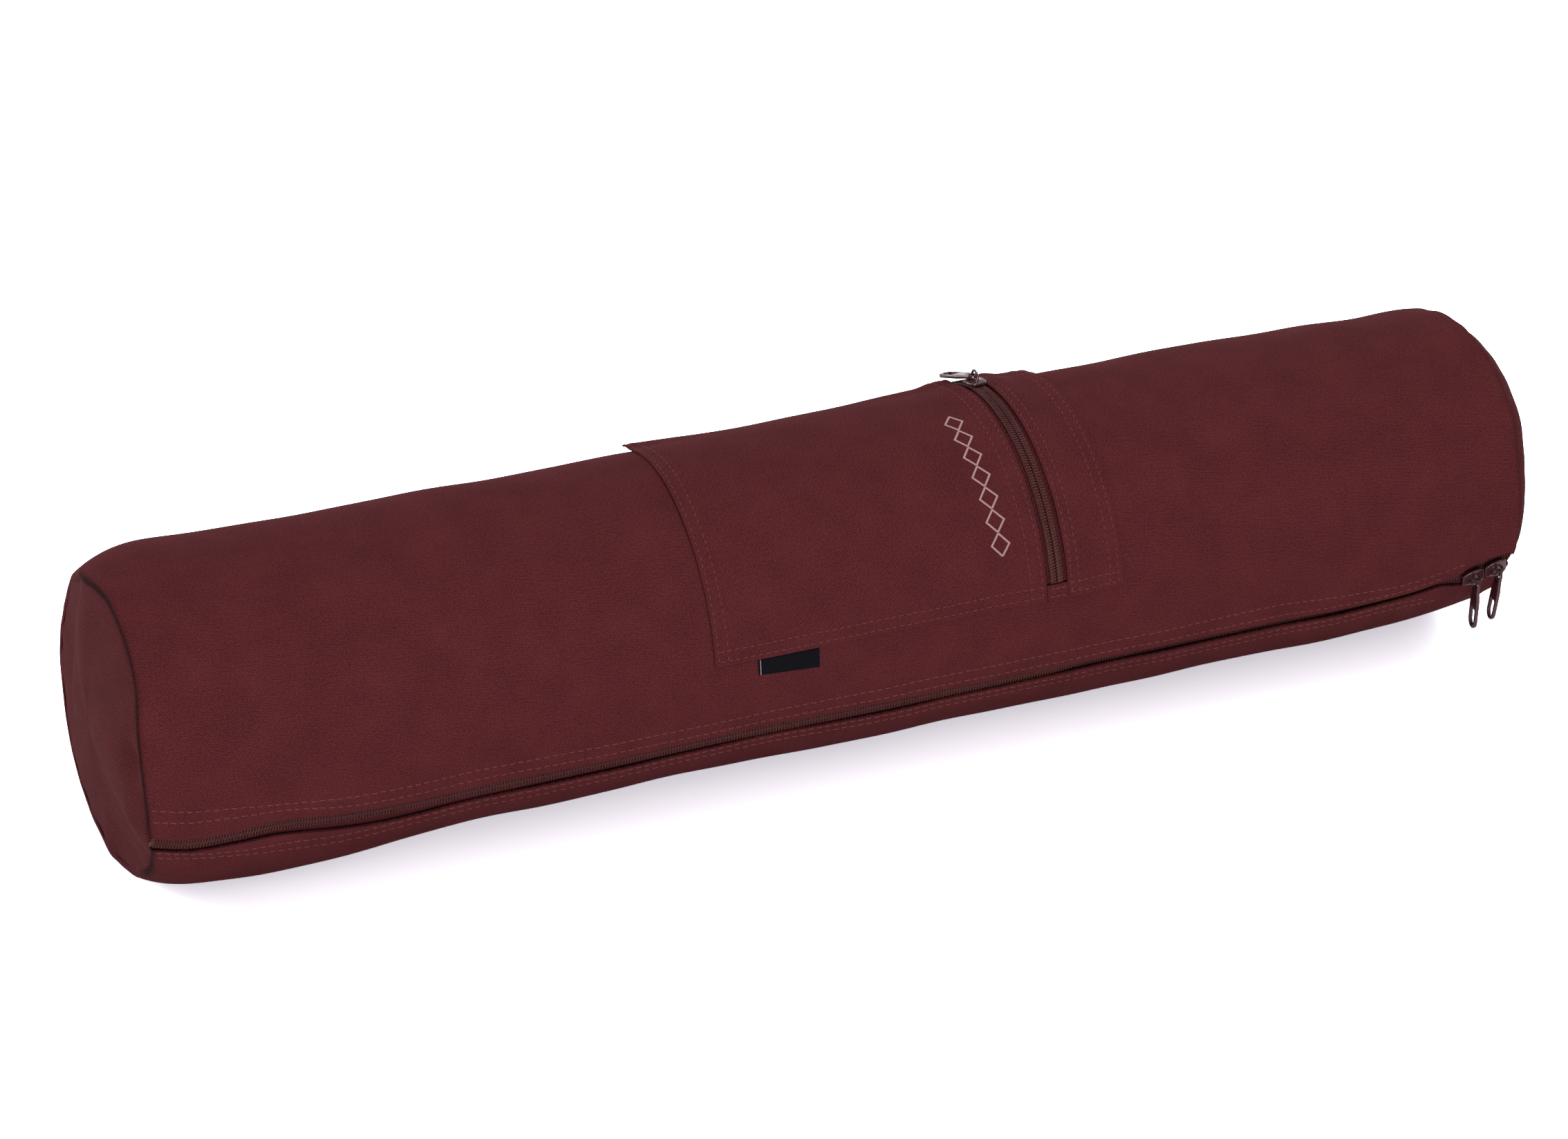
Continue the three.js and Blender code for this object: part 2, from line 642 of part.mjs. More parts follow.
function pocketPullFrame(sliderFrame) {
  const archMiddle = new THREE.Matrix4().makeTranslation(0, 0, pocketArchMiddle);
  const dipped = new THREE.Matrix4().makeRotationY(radians(pocketPullDip));
  const eye = new THREE.Matrix4().makeTranslation(archRadius, 0, 0);
  const turned = new THREE.Matrix4().makeRotationZ(radians(pocketPullTurn));
  return sliderFrame.clone().multiply(archMiddle).multiply(dipped).multiply(eye).multiply(turned);
}

// Colours and finishes
const canvasColour = 0x5a262b;
const finishes = {
  canvas: { color: canvasColour, roughness: 0.9, metalness: 0 },
  endCanvas: { color: 0x5e292e, roughness: 0.9, metalness: 0 },
  pocketCanvas: { color: 0x5f2a2f, roughness: 0.9, metalness: 0 },
  tape: { color: 0x4a1f24, roughness: 0.85, metalness: 0 },
  coil: { color: 0x4d2226, roughness: 0.45, metalness: 0 },
  metal: { color: 0x59302f, roughness: 0.3, metalness: 0.4 },
  label: { color: 0x15131a, roughness: 0.8, metalness: 0 },
};

const bag = new THREE.Group();

function piece(name, geometry, finish, frame) {
  const mesh = new THREE.Mesh(geometry, new THREE.MeshStandardMaterial(finishes[finish]));
  mesh.name = name;
  if (frame) {
    frame.decompose(mesh.position, mesh.quaternion, mesh.scale);
  }
  bag.add(mesh);
}

piece("body_panel", bodyPanel(), "canvas");
piece("end_panel_left", endPanel(-1, leftDome), "endCanvas");
piece("end_panel_right", endPanel(1, rightDome), "endCanvas");

piece("zip_tape_upper", longTape(1), "tape");
piece("zip_tape_lower", longTape(-1), "tape");
piece("zip_coil_upper", longCoil(1), "coil");
piece("zip_coil_lower", longCoil(-1), "coil");

const keelWidth = 2 * coilWidth + coilSplit;
const longSliders = [
  { side: "left", along: firstSliderAlong, lean: firstPullLean },
  { side: "right", along: lastSliderAlong, lean: lastPullLean },
];
for (const { side, along, lean } of longSliders) {
  const sliderFrame = longSliderFrame(along);
  const slider = sliderBody(sliderKeel, keelWidth, longBarHeight - archRadius);
  piece(`zip_slider_${side}`, slider, "metal", sliderFrame);
  piece(`zip_pull_${side}`, pullPlate(), "metal", hangingPullFrame(sliderFrame, lean));
}

piece("pocket_panel", pocketCloth(pocketAlongs, pocketAngles), "pocketCanvas");
piece("pocket_side_strip", pocketCloth(stripAlongs, pocketAngles), "pocketCanvas");
piece("pocket_zip_tape", pocketTape(), "tape");
piece("pocket_zip_coil_left", pocketCoil(-1), "coil");
piece("pocket_zip_coil_right", pocketCoil(1), "coil");
const tabLeft = pocketZipLeft + seatGap;
const tabRight = pocketZipRight - seatGap;
const endTab = patch(tabLeft, tabRight, pocketHemAngle, endTabTop, seatGap, endTabWall);
piece("pocket_zip_end_tab", endTab, "pocketCanvas");

const onPocketZip = pocketSliderFrame();
piece("pocket_slider", sliderBody(0, 2 * pocketCoilWidth, pocketArchMiddle), "metal", onPocketZip);
piece("pocket_pull", pullPlate(), "metal", pocketPullFrame(onPocketZip));

const labelLeft = pocketLeft + labelFromPocketEdge;
const labelTop = pocketHemAngle - degreesFor(seatGap);
const labelBottom = labelTop - degreesFor(labelDrop);
const label = patch(labelLeft, labelLeft + labelWidth, labelBottom, labelTop, seatGap, labelWall);
piece("hem_label", label, "label");

export default bag;
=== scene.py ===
# %% [markdown]
# # A yoga mat bag
# The bag is a long round tube of burgundy twill that lies on its side. A zip runs along its lower front, and a
# patch pocket with a short zip of its own sits on the front. This lesson dresses the plain solid model: each
# cloth solid gives way to a finer surface with seams, gathers and stitches, and each metal part to a smoother
# one with rounded rims. Every length below is in millimetres until a piece is made.

# %% Load the plain model
import math

import bmesh
import bpy
import numpy as np
from mathutils import Matrix


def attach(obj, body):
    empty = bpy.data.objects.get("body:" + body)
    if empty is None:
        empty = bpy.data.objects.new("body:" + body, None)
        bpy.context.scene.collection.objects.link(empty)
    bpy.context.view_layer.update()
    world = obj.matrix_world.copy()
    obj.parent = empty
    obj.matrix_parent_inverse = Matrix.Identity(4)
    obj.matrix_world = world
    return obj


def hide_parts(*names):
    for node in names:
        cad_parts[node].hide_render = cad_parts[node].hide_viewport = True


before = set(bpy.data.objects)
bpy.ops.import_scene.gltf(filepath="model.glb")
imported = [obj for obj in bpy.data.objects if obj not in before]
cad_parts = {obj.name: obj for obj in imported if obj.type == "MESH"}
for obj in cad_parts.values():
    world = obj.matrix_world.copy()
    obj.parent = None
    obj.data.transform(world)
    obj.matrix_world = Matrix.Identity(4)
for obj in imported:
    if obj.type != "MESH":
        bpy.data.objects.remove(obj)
bpy.context.view_layer.update()
bpy.context.view_layer.update()

# %% [markdown]
# ## The camera
# The photograph looks down on the bag from its left front with a long lens. The camera stands where lines of
# sight through the bag's ends, seams and zip cross.

# %% Camera
camera_place = np.array([-0.78067, -1.86801, 1.19712])
camera_aim = np.array([-0.01223, 0.0, 0.08391])


def aim(thing, place, target):
    """Turn a camera or lamp so that its own -Z axis points from its place to the target."""
    back = np.subtract(place, target) / np.linalg.norm(np.subtract(place, target))
    side = np.cross([0.0, 0.0, 1.0], back)
    side /= np.linalg.norm(side)
    matrix = np.eye(4)
    matrix[:3, :4] = np.stack([side, np.cross(back, side), back, place], axis=1)
    thing.matrix_world = Matrix(matrix.tolist())


camera = bpy.data.objects.new("camera", bpy.data.cameras.new("camera"))
bpy.context.scene.collection.objects.link(camera)
aim(camera, camera_place, camera_aim)
camera.data.sensor_fit = "HORIZONTAL"
camera.data.sensor_width = 36.0
camera.data.lens = 115.3
camera.data.clip_start = 0.05
bpy.context.scene.camera = camera
print("lens", camera.data.lens)

# %% [markdown]
# ## The bag's round form
# A place on the bag is its distance along it, its angle round it and its lift off the cloth. The same few sizes
# and tables shape the plain model, so the finer cloth lies exactly where the plain walls are.

# %% Sizes of the bag
half_length = 667 / 2
body_radius = 75.0
canvas_wall = 1.6
axis_height = 74.2
end_inset = 0.5
end_gap = 0.5
end_round = 36.0
zip_slot = 8.0


def degrees_for(arc):
    """The angle round the bag that an arc of its cloth takes."""
    return np.degrees(np.asarray(arc, float) / body_radius)


def smooth_step(t):
    """0 below 0 and 1 above 1, with 3t² - 2t³ between."""
    held = np.clip(t, 0.0, 1.0)
    return held * held * (3.0 - 2.0 * held)


def follow(places, values, at):
    """A smooth curve through a table: cubic pieces whose slope at a row is that between its two neighbours."""
    x, v = np.asarray(places, float), np.asarray(values, float)
    at = np.clip(at, x[0], x[-1])
    i = np.clip(np.searchsorted(x, at, side="left") - 1, 0, len(x) - 2)
    before, after = np.maximum(i - 1, 0), np.minimum(i + 2, len(x) - 1)
    width = x[i + 1] - x[i]
    t = (at - x[i]) / width
    slope_in = (v[i + 1] - v[before]) / (x[i + 1] - x[before])
    slope_out = (v[after] - v[i]) / (x[after] - x[i])
    ends = v[i] * (1 + 2 * t) * (1 - t) ** 2 + v[i + 1] * (3 - 2 * t) * t**2
    return ends + width * (slope_in * t * (1 - t) ** 2 - slope_out * (1 - t) * t**2)


# %% Swells of the stuffed cloth and the wander of its end seams
# Columns: along, reach along, angle, reach round, rise (shares of half the length, and of the radius)
swells = np.array([
    [-0.8, 0.16, -58, 26, 0.058],
    [-0.93, 0.1, 112, 46, 0.024],
    [-0.2, 0.13, -58, 34, -0.018],
    [0.89, 0.07, 118, 40, -0.024],
    [1.0, 0.12, -50, 34, -0.05],
    [0.3, 0.16, 115, 40, 0.014],
    [0.62, 0.2, 150, 40, 0.012],
    [-0.45, 0.2, 160, 44, -0.016],
])
# Columns: angle, left seam out and in, right seam out and in (shares of the radius)
end_seams = np.array([
    [-180, 0.02, 0, 0, 0.02],
    [-140, 0.04, -0.02, 0, 0.03],
    [-100, 0.02, 0.03, -0.02, 0.04],
    [-62, -0.02, 0.085, -0.04, 0.03],
    [-32, -0.01, 0.04, -0.035, 0.01],
    [-12, 0.036, 0, -0.015, 0],
    [20, 0.05, 0, -0.012, 0],
    [45, -0.005, 0, 0.01, -0.01],
    [75, 0, 0.02, 0, 0],
    [100, 0.03, 0.09, 0, 0.03],
    [125, 0, 0.1, 0, 0.05],
    [150, -0.01, 0.06, 0, 0.03],
    [180, 0.02, 0, 0, 0.02],
])


def turn_between(a, b):
    """The smallest turn from angle b to angle a, from -180 to 180."""
    return (np.asarray(a, float) - b + 180.0) % 360.0 - 180.0


def bag_point(along, angle, lift):
    """Points on the bag: x = along + out, y = -r cos(angle), z = axis + r sin(angle), held above the floor.
    r is the radius with its swells, less the pull of the nearer end seam, plus the lift."""
    along, angle, lift = np.broadcast_arrays(np.asarray(along, float), np.asarray(angle, float), lift)
    share = along / half_length
    rise = np.zeros(along.shape)
    for place, reach, at, turn, height in swells:
        rise += height * np.exp(-(((share - place) / reach) ** 2) - (turn_between(angle, at) / turn) ** 2)
    around = turn_between(angle, 0.0)
    from_end = half_length - np.abs(along)
    left = along < 0
    out = np.where(left, follow(end_seams[:, 0], end_seams[:, 1], around),
                   follow(end_seams[:, 0], end_seams[:, 3], around)) * body_radius
    inwards = np.where(left, follow(end_seams[:, 0], end_seams[:, 2], around),
                       follow(end_seams[:, 0], end_seams[:, 4], around)) * body_radius
    out = np.sign(along) * out * (1 - smooth_step(from_end / body_radius))
    inwards = inwards * np.maximum(1 - from_end / end_round, 0.0) ** 3
    radius = body_radius * (1 + rise) - inwards + lift
    turn = np.radians(angle)
    height = np.maximum(axis_height + radius * np.sin(turn), np.maximum(-lift, 0.0))
    return np.stack([along + out, -radius * np.cos(turn), height], axis=-1)


print("a point on the front", bag_point(0.0, 0.0, 0.0))

# %% [markdown]
# ## From arrays to meshes
# Each surface is a grid of points, worked out at once. One helper numbers the faces of a grid, another gathers
# parts into one piece, and the last makes the mesh, turns millimetres into metres and hangs the piece on a body.


# %% Grids and pieces
def grid_faces(rows, columns, wrap=False):
    """Four-cornered faces of a grid stored row by row. They face along (next row) x (next column)."""
    i = np.arange(rows - 1)[:, None]
    j = np.arange(columns if wrap else columns - 1)[None, :]
    a = i * columns + j
    b = i * columns + (j + 1) % columns
    return np.stack([a, a + columns, b + columns, b], axis=-1).reshape(-1, 4)


def joined(parts):
    """Several (points, faces) pairs as one, with the later faces renumbered."""
    points, faces, start = [], [], 0
    for part_points, part_faces in parts:
        points.append(part_points)
        faces += [[corner + start for corner in face] for face in part_faces]
        start += len(part_points)
    return np.concatenate(points), faces


def make_piece(name, points, faces, material, body="bag", slot="canvas", weave=None, marks=None):
    """A smooth mesh from points in millimetres, with its weave's places and any named marks per point."""
    mesh = bpy.data.meshes.new(name)
    faces = faces.tolist() if isinstance(faces, np.ndarray) else faces
    mesh.from_pydata((points * 0.001).tolist(), [], faces)
    mesh.polygons.foreach_set("use_smooth", np.ones(len(mesh.polygons), bool))
    if weave is not None:
        corners = np.empty(len(mesh.loops), np.int32)
        mesh.loops.foreach_get("vertex_index", corners)
        mesh.uv_layers.new(name="weave").data.foreach_set("uv", (weave[corners] * 0.001).ravel())
    for mark, values in (marks or {}).items():
        mesh.attributes.new(mark, "FLOAT", "POINT").data.foreach_set("value", np.asarray(values, np.float32))
    mesh.materials.append(material)
    piece = bpy.data.objects.new(name, mesh)
    bpy.context.scene.collection.objects.link(piece)
    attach(piece, body)
    print(name, len(mesh.vertices), "points", sum(len(p.vertices) - 2 for p in mesh.polygons), "triangles")
    return piece


# %% [markdown]
# ## Finishes
# All the cloth is the same burgundy yarn in a twill, which shows as fine slanting ribs with small slubs. One
# node group makes ribs of any spacing and lean from a piece's own weave coordinates, so the ribs follow the
# cloth round the bag. The same group also gives cloth the soft cloudy tone of dyed cotton.


# %% Small helpers for node trees
def node(tree, kind, sockets=None, **settings):
    """A node with its settings, and its sockets set to values or joined to other nodes' outputs."""
    made = tree.nodes.new(kind)
    for key, value in settings.items():
        setattr(made, key, value)
    for socket, value in (sockets or {}).items():
        if isinstance(value, bpy.types.NodeSocket):
            tree.links.new(value, made.inputs[socket])
        else:
            made.inputs[socket].default_value = value
    return made


def sums(tree, operation, a, b=0.0, c=0.0):
    """One sum: add, multiply, sine and the like, on numbers or outputs."""
    return node(tree, "ShaderNodeMath", {0: a, 1: b, 2: c}, operation=operation).outputs[0]


def new_group(name, inputs, outputs):
    """An empty node group with named inputs (kind, value) and outputs (kind), and its two end nodes."""
    tree = bpy.data.node_groups.new(name, "ShaderNodeTree")
    for label, (kind, value) in inputs.items():
        socket = tree.interface.new_socket(label, in_out="INPUT", socket_type=kind)
        if value is not None:
            socket.default_value = value
    for label, kind in outputs.items():
        tree.interface.new_socket(label, in_out="OUTPUT", socket_type=kind)
    return tree, tree.nodes.new("NodeGroupInput"), tree.nodes.new("NodeGroupOutput")


def placed(tree, group, **values):
    """A node group placed in a tree, with its inputs set or joined."""
    made = tree.nodes.new("ShaderNodeGroup")
    made.node_tree = group
    for label, value in values.items():
        if isinstance(value, bpy.types.NodeSocket):
            tree.links.new(value, made.inputs[label])
        else:
            made.inputs[label].default_value = value
    return made


# %% Twill ribs
NUMBER, VECTOR, COLOUR = "NodeSocketFloat", "NodeSocketVector", "NodeSocketColor"
twill, twill_in, twill_out = new_group(
    "twill",
    {"Place": (VECTOR, None), "Pitch": (NUMBER, 0.0007), "Lean": (NUMBER, 0.3)},
    {"Height": NUMBER, "Cloud": NUMBER},
)
turned = node(twill, "ShaderNodeVectorRotate", {"Vector": twill_in.outputs["Place"], "Angle": twill_in.outputs["Lean"]},
              rotation_type="Z_AXIS").outputs[0]
parted = node(twill, "ShaderNodeSeparateXYZ", {0: turned})
wander = node(twill, "ShaderNodeTexNoise", {"Vector": twill_in.outputs["Place"], "Scale": 150.0, "Detail": 3.0})
across = sums(twill, "DIVIDE", parted.outputs[1], twill_in.outputs["Pitch"])
down = sums(twill, "DIVIDE", parted.outputs[0], twill_in.outputs["Pitch"])
bent = sums(twill, "MULTIPLY_ADD", wander.outputs[0], 1.3, across)
rib = sums(twill, "SINE", sums(twill, "MULTIPLY", bent, 2 * math.pi))
float_phase = sums(twill, "MULTIPLY_ADD", across, math.pi, sums(twill, "MULTIPLY", down, 2.6))
floats = sums(twill, "SINE", float_phase)
yarn = sums(twill, "MULTIPLY_ADD", rib, 0.2, 0.5)
yarn = sums(twill, "MULTIPLY_ADD", floats, 0.13, yarn)
slub = node(twill, "ShaderNodeTexNoise", {"Vector": twill_in.outputs["Place"], "Scale": 1100.0, "Detail": 3.0})
twill.links.new(sums(twill, "MULTIPLY_ADD", slub.outputs[0], 1.0, sums(twill, "SUBTRACT", yarn, 0.5)),
                twill_out.inputs["Height"])
cloud = node(twill, "ShaderNodeTexNoise", {"Vector": twill_in.outputs["Place"], "Scale": 45.0, "Detail": 5.0,
                                           "Roughness": 0.65})
twill.links.new(cloud.outputs[0], twill_out.inputs["Cloud"])
print("twill group", len(twill.nodes), "nodes")


# %% Cloth finish
def material_base(name):
    """An empty node material with its shader joined to its output."""
    material = bpy.data.materials.new(name)
    material.use_nodes = True
    tree = material.node_tree
    tree.nodes.clear()
    shader = node(tree, "ShaderNodeBsdfPrincipled")
    output = node(tree, "ShaderNodeOutputMaterial", {"Surface": shader.outputs[0]})
    output.target = "ALL"
    return material, tree, shader


def cloth_finish(name, dark, light, pitch, lean, relief=0.00012, with_painted_shade=True):
    """Twill in one colour, darker between its ribs, darkened by a mark of painted shade where a piece has one, with a
    soft fuzz at its rim.
    """
    material, tree, shader = material_base(name)
    place = node(tree, "ShaderNodeUVMap", uv_map="weave").outputs[0]
    ribs = placed(tree, twill, Place=place, Pitch=pitch, Lean=lean)
    share = sums(tree, "MULTIPLY_ADD", ribs.outputs["Cloud"], 0.6,
                 sums(tree, "MULTIPLY_ADD", ribs.outputs["Height"], 1.4, -0.48))
    # Painted shade: a piece's per-point mark darkens the colour along the end seams and over the turned hems.
    if with_painted_shade:
        painted_shade = node(tree, "ShaderNodeAttribute", attribute_name="painted_shade").outputs["Fac"]
        share = sums(tree, "MULTIPLY_ADD", painted_shade, -0.3, share)
    colour = node(tree, "ShaderNodeMix", {"Factor": share, 6: dark, 7: light}, data_type="RGBA").outputs[2]
    # Painted shade: the same mark mixes the colour towards near black.
    if with_painted_shade:
        colour = node(tree, "ShaderNodeMix", {"Factor": sums(tree, "MULTIPLY", painted_shade, 0.85), 6: colour,
                                              7: (0.009, 0.0016, 0.002, 1.0)}, data_type="RGBA").outputs[2]
    bump = node(tree, "ShaderNodeBump", {"Strength": 0.4, "Distance": relief, "Height": ribs.outputs["Height"]})
    tree.links.new(colour, shader.inputs["Base Color"])
    tree.links.new(bump.outputs[0], shader.inputs["Normal"])
    shader.inputs["Roughness"].default_value = 0.9
    shader.inputs["IOR"].default_value = 1.12
    shader.inputs["Sheen Weight"].default_value = 0.022
    shader.inputs["Sheen Roughness"].default_value = 0.3
    shader.inputs["Sheen Tint"].default_value = (0.9, 0.32, 0.36, 1.0)
    return material


cloth_dark = (0.036, 0.0068, 0.0082, 1.0)
cloth_light = (0.112, 0.0228, 0.0262, 1.0)
body_finish = cloth_finish("burgundy_twill", cloth_dark, cloth_light, 0.00068, 0.16)
end_finish = cloth_finish("burgundy_twill_end", cloth_dark, cloth_light, 0.0007, -0.1)
pocket_finish = cloth_finish("burgundy_twill_pocket", cloth_dark, cloth_light, 0.0007, -1.1)
tape_finish = cloth_finish("zip_tape_weave", (0.028, 0.0055, 0.0066, 1.0), (0.075, 0.0155, 0.018, 1.0), 0.0011, 1.57,
                           with_painted_shade=False)


# %% Finishes of thread, coil, metal and label
def speckled_finish(name, dark, light, scale, roughness, metallic=0.0, coat=0.0, relief=0.00003, index=1.2):
    """A colour that drifts between two shades by fine noise, which also roughens the surface a little."""
    material, tree, shader = material_base(name)
    place = node(tree, "ShaderNodeTexCoord").outputs["Object"]
    noise = node(tree, "ShaderNodeTexNoise", {"Vector": place, "Scale": scale, "Detail": 4.0})
    colour = node(tree, "ShaderNodeMix", {"Factor": noise.outputs[0], 6: dark, 7: light}, data_type="RGBA")
    bump = node(tree, "ShaderNodeBump", {"Strength": 0.4, "Distance": relief, "Height": noise.outputs[0]})
    gloss = sums(tree, "MULTIPLY_ADD", noise.outputs[0], 0.12, roughness - 0.06)
    tree.links.new(colour.outputs[2], shader.inputs["Base Color"])
    tree.links.new(bump.outputs[0], shader.inputs["Normal"])
    tree.links.new(gloss, shader.inputs["Roughness"])
    shader.inputs["Metallic"].default_value = metallic
    shader.inputs["IOR"].default_value = index
    shader.inputs["Coat Weight"].default_value = coat
    shader.inputs["Coat Roughness"].default_value = 0.12
    return material


thread_finish = speckled_finish("stitch_thread", (0.12, 0.033, 0.032, 1), (0.2, 0.065, 0.061, 1), 900.0, 0.7)
quiet_thread = speckled_finish("pocket_thread", (0.1, 0.026, 0.027, 1), (0.16, 0.048, 0.048, 1), 900.0, 0.7)
pink_thread = speckled_finish("pale_thread", (0.33, 0.185, 0.19, 1), (0.47, 0.3, 0.3, 1), 900.0, 0.55)
coil_finish = speckled_finish("nylon_coil", (0.04, 0.0094, 0.0098, 1), (0.118, 0.033, 0.032, 1), 500.0, 0.38, index=1.28)
metal_finish = speckled_finish("painted_metal", (0.05, 0.0125, 0.0175, 1), (0.082, 0.0235, 0.03, 1), 320.0, 0.24,
                               metallic=0.4, coat=0.6, index=1.45)


# %% Label finish
def label_look():
    """Black satin weave with one thin pale line near its left edge."""
    material, tree, shader = material_base("label_satin")
    place = node(tree, "ShaderNodeUVMap", uv_map="weave").outputs[0]
    ribs = placed(tree, twill, Place=place, Pitch=0.00045, Lean=0.0)
    across = node(tree, "ShaderNodeSeparateXYZ", {0: place}).outputs[0]
    line = sums(tree, "COMPARE", across, 0.0007, 0.00018)
    ground = node(tree, "ShaderNodeMix", {"Factor": ribs.outputs["Height"], 6: (0.0012, 0.0012, 0.0022, 1),
                                          7: (0.0045, 0.0046, 0.0085, 1)}, data_type="RGBA").outputs[2]
    colour = node(tree, "ShaderNodeMix", {"Factor": line, 6: ground, 7: (0.3, 0.24, 0.26, 1)}, data_type="RGBA")
    bump = node(tree, "ShaderNodeBump", {"Strength": 0.5, "Distance": 0.00008, "Height": ribs.outputs["Height"]})
    tree.links.new(colour.outputs[2], shader.inputs["Base Color"])
    tree.links.new(bump.outputs[0], shader.inputs["Normal"])
    shader.inputs["Roughness"].default_value = 0.7
    shader.inputs["IOR"].default_value = 1.15
    return material


label_finish = label_look()
print("finishes", len(bpy.data.materials))

# %% [markdown]
# ## The rolled canvas
# One length of twill is rolled into a tube and its two long edges are turned under beside the zip. On the real
# bag it is stuffed, so it is tight, with only shallow hollows, and small gathers where the round ends are sewn
# in. It could be simulated as cloth blown up from inside, but a tube that is already full hardly moves, so its
# surface is worked out directly: the plain form plus gathers, hollows and the pinch of each stitched row.

# %% Where the cloth's edges meet the zip
# Columns: along, angle of the teeth's line, cloth above and below it (shares of the slot)
zip_course = np.array([
    [-1, -16, 0.5, 0.62],
    [-0.949, -20.8, 0.47, 0.53],
    [-0.889, -21.1, 0.46, 0.52],
    [-0.835, -20.4, 0.46, 0.62],
    [-0.745, -23.2, 0.42, 0.82],
    [-0.676, -24.4, 0.42, 0.98],
    [-0.583, -24.8, 0.42, 0.76],
    [-0.289, -25, 0.41, 0.6],
    [0.103, -25, 0.39, 0.54],
    [0.334, -25, 0.36, 0.32],
    [0.568, -25, 0.3, 0.22],
    [0.73, -25, 0.27, 0.22],
    [0.8, -24.4, 0.2, 0.16],
    [0.85, -23.6, 0.18, 0.16],
    [0.89, -22.5, 0.3, 0.2],
    [0.915, -22.5, 0.56, 0.5],
    [0.935, -21.4, 0.96, 0.9],
    [0.955, -20.2, 1, 1.1],
    [0.97, -19, 0.94, 1.06],
    [0.985, -18, 0.86, 0.82],
    [1, -17.2, 0.5, 0.45],
])


def zip_angle(along):
    """The angle of the line between the teeth."""
    return follow(zip_course[:, 0], zip_course[:, 1], np.asarray(along) / half_length)


def upper_edge(along):
    """The angle of the cloth's edge above the zip."""
    return zip_angle(along) + degrees_for(zip_slot * follow(zip_course[:, 0], zip_course[:, 2], along / half_length))


def lower_edge(along):
    """The angle of the cloth's edge below the zip."""
    return zip_angle(along) - degrees_for(zip_slot * follow(zip_course[:, 0], zip_course[:, 3], along / half_length))


# Columns: along, angles of the two stitched rows above the zip and of the two below it
zip_rows = np.array([
    [-333.5, -1.2, -6.0, -21.0, -25.0],
    [-315.5, -5.3, -9.8, -26.2, -29.0],
    [-298.0, -7.4, -11.2, -28.5, -31.1],
    [-275.0, -10.2, -12.9, -29.8, -33.9],
    [-241.0, -13.0, -17.2, -32.5, -36.6],
    [-190.0, -13.6, -18.0, -31.4, -35.2],
    [-60.0, -14.6, -19.2, -30.4, -34.0],
    [120.0, -14.4, -19.6, -29.6, -33.0],
    [207.0, -14.4, -20.0, -28.8, -32.0],
    [247.0, -16.2, -20.8, -28.4, -31.8],
    [275.0, -17.0, -20.4, -27.6, -31.0],
    [304.0, -14.0, -17.5, -30.5, -33.5],
    [333.5, -9.0, -12.5, -31.0, -34.0],
])


# %% Gathers, hollows and pinched rows
# Columns: along, reach along, angle, reach round, height of soft dents and puffs beside the end seams
dents = np.array([
    [-322, 8, 7, 5, -1.7],
    [-309, 9, 11, 7, 0.8],
    [-327, 5, -14, 5, 0.7],
    [-318, 12, 52, 9, -0.9],
    [-324, 9, 74, 8, 0.8],
    [318, 10, 62, 8, -1.1],
    [322, 9, 40, 8, 0.9],
    [316, 11, 18, 8, -0.9],
])


def gathers(angle, side):
    """Small folds round a sewn end: sines of 9 to 31 waves round the bag, each louder on one part of it."""
    turn = np.radians(angle)
    folds = np.zeros(np.shape(angle))
    for waves, phase, size, where in [(9, 0.4, 0.34, 1.1), (14, 2.1, 0.3, 3.9), (19, 4.4, 0.26, 0.2),
                                      (24, 1.3, 0.2, 2.6), (31, 5.2, 0.15, 5.0)]:
        louder = 0.45 + 0.55 * np.cos(turn - where + side) ** 2
        folds += size * louder * np.sin(waves * turn + phase + 2.3 * side)
    return folds


def hollows(along, angle):
    """Wide shallow hollows of stuffed cloth: crossed sines 60 to 200 mm long, under a millimetre high."""
    turn = np.radians(angle)
    deep = 0.3 * np.sin(along / 31 + 2 * turn + 0.6) * np.cos(along / 57 - 3 * turn)
    deep += 0.22 * np.sin(along / 17 - 3 * turn + 2.0) * np.sin(along / 43 + 4 * turn + 1.0)
    deep += 0.12 * np.sin(along / 9.5 + 5 * turn) * np.cos(along / 27 - 2 * turn + 0.8)
    return 1.5 * deep


def body_relief(along, angle):
    """How far the canvas stands off its plain form: hollows, gathers that die away in 20 mm from an end seam,
    and a groove 1 mm wide along each stitched row, with small puckers between its stitches."""
    from_end = half_length - np.abs(along)
    side = np.sign(along)
    relief = hollows(along, angle) * smooth_step(from_end / 40) + gathers(angle, side) * np.exp(-from_end / 17)
    around = turn_between(angle, 0.0)
    for place, reach, at, turn, height in dents:
        relief += height * np.exp(-(((along - place) / reach) ** 2) - ((around - at) / turn) ** 2)
    for column in (1, 2, 3, 4):
        row = follow(zip_rows[:, 0], zip_rows[:, column], along)
        gap = np.radians(around - row) * body_radius
        relief -= 0.26 * np.exp(-((gap / 0.9) ** 2))
        relief += 0.09 * np.sin(along * 0.72 + column) * np.exp(-((gap / 3.5) ** 2))
    return relief


def far_side(angle):
    """1 on the part of an end seam that turns its edge to open air, from 115 to 305 degrees, and 0 elsewhere."""
    return smooth_step((105 - np.abs(turn_between(angle, 210.0))) / 18)


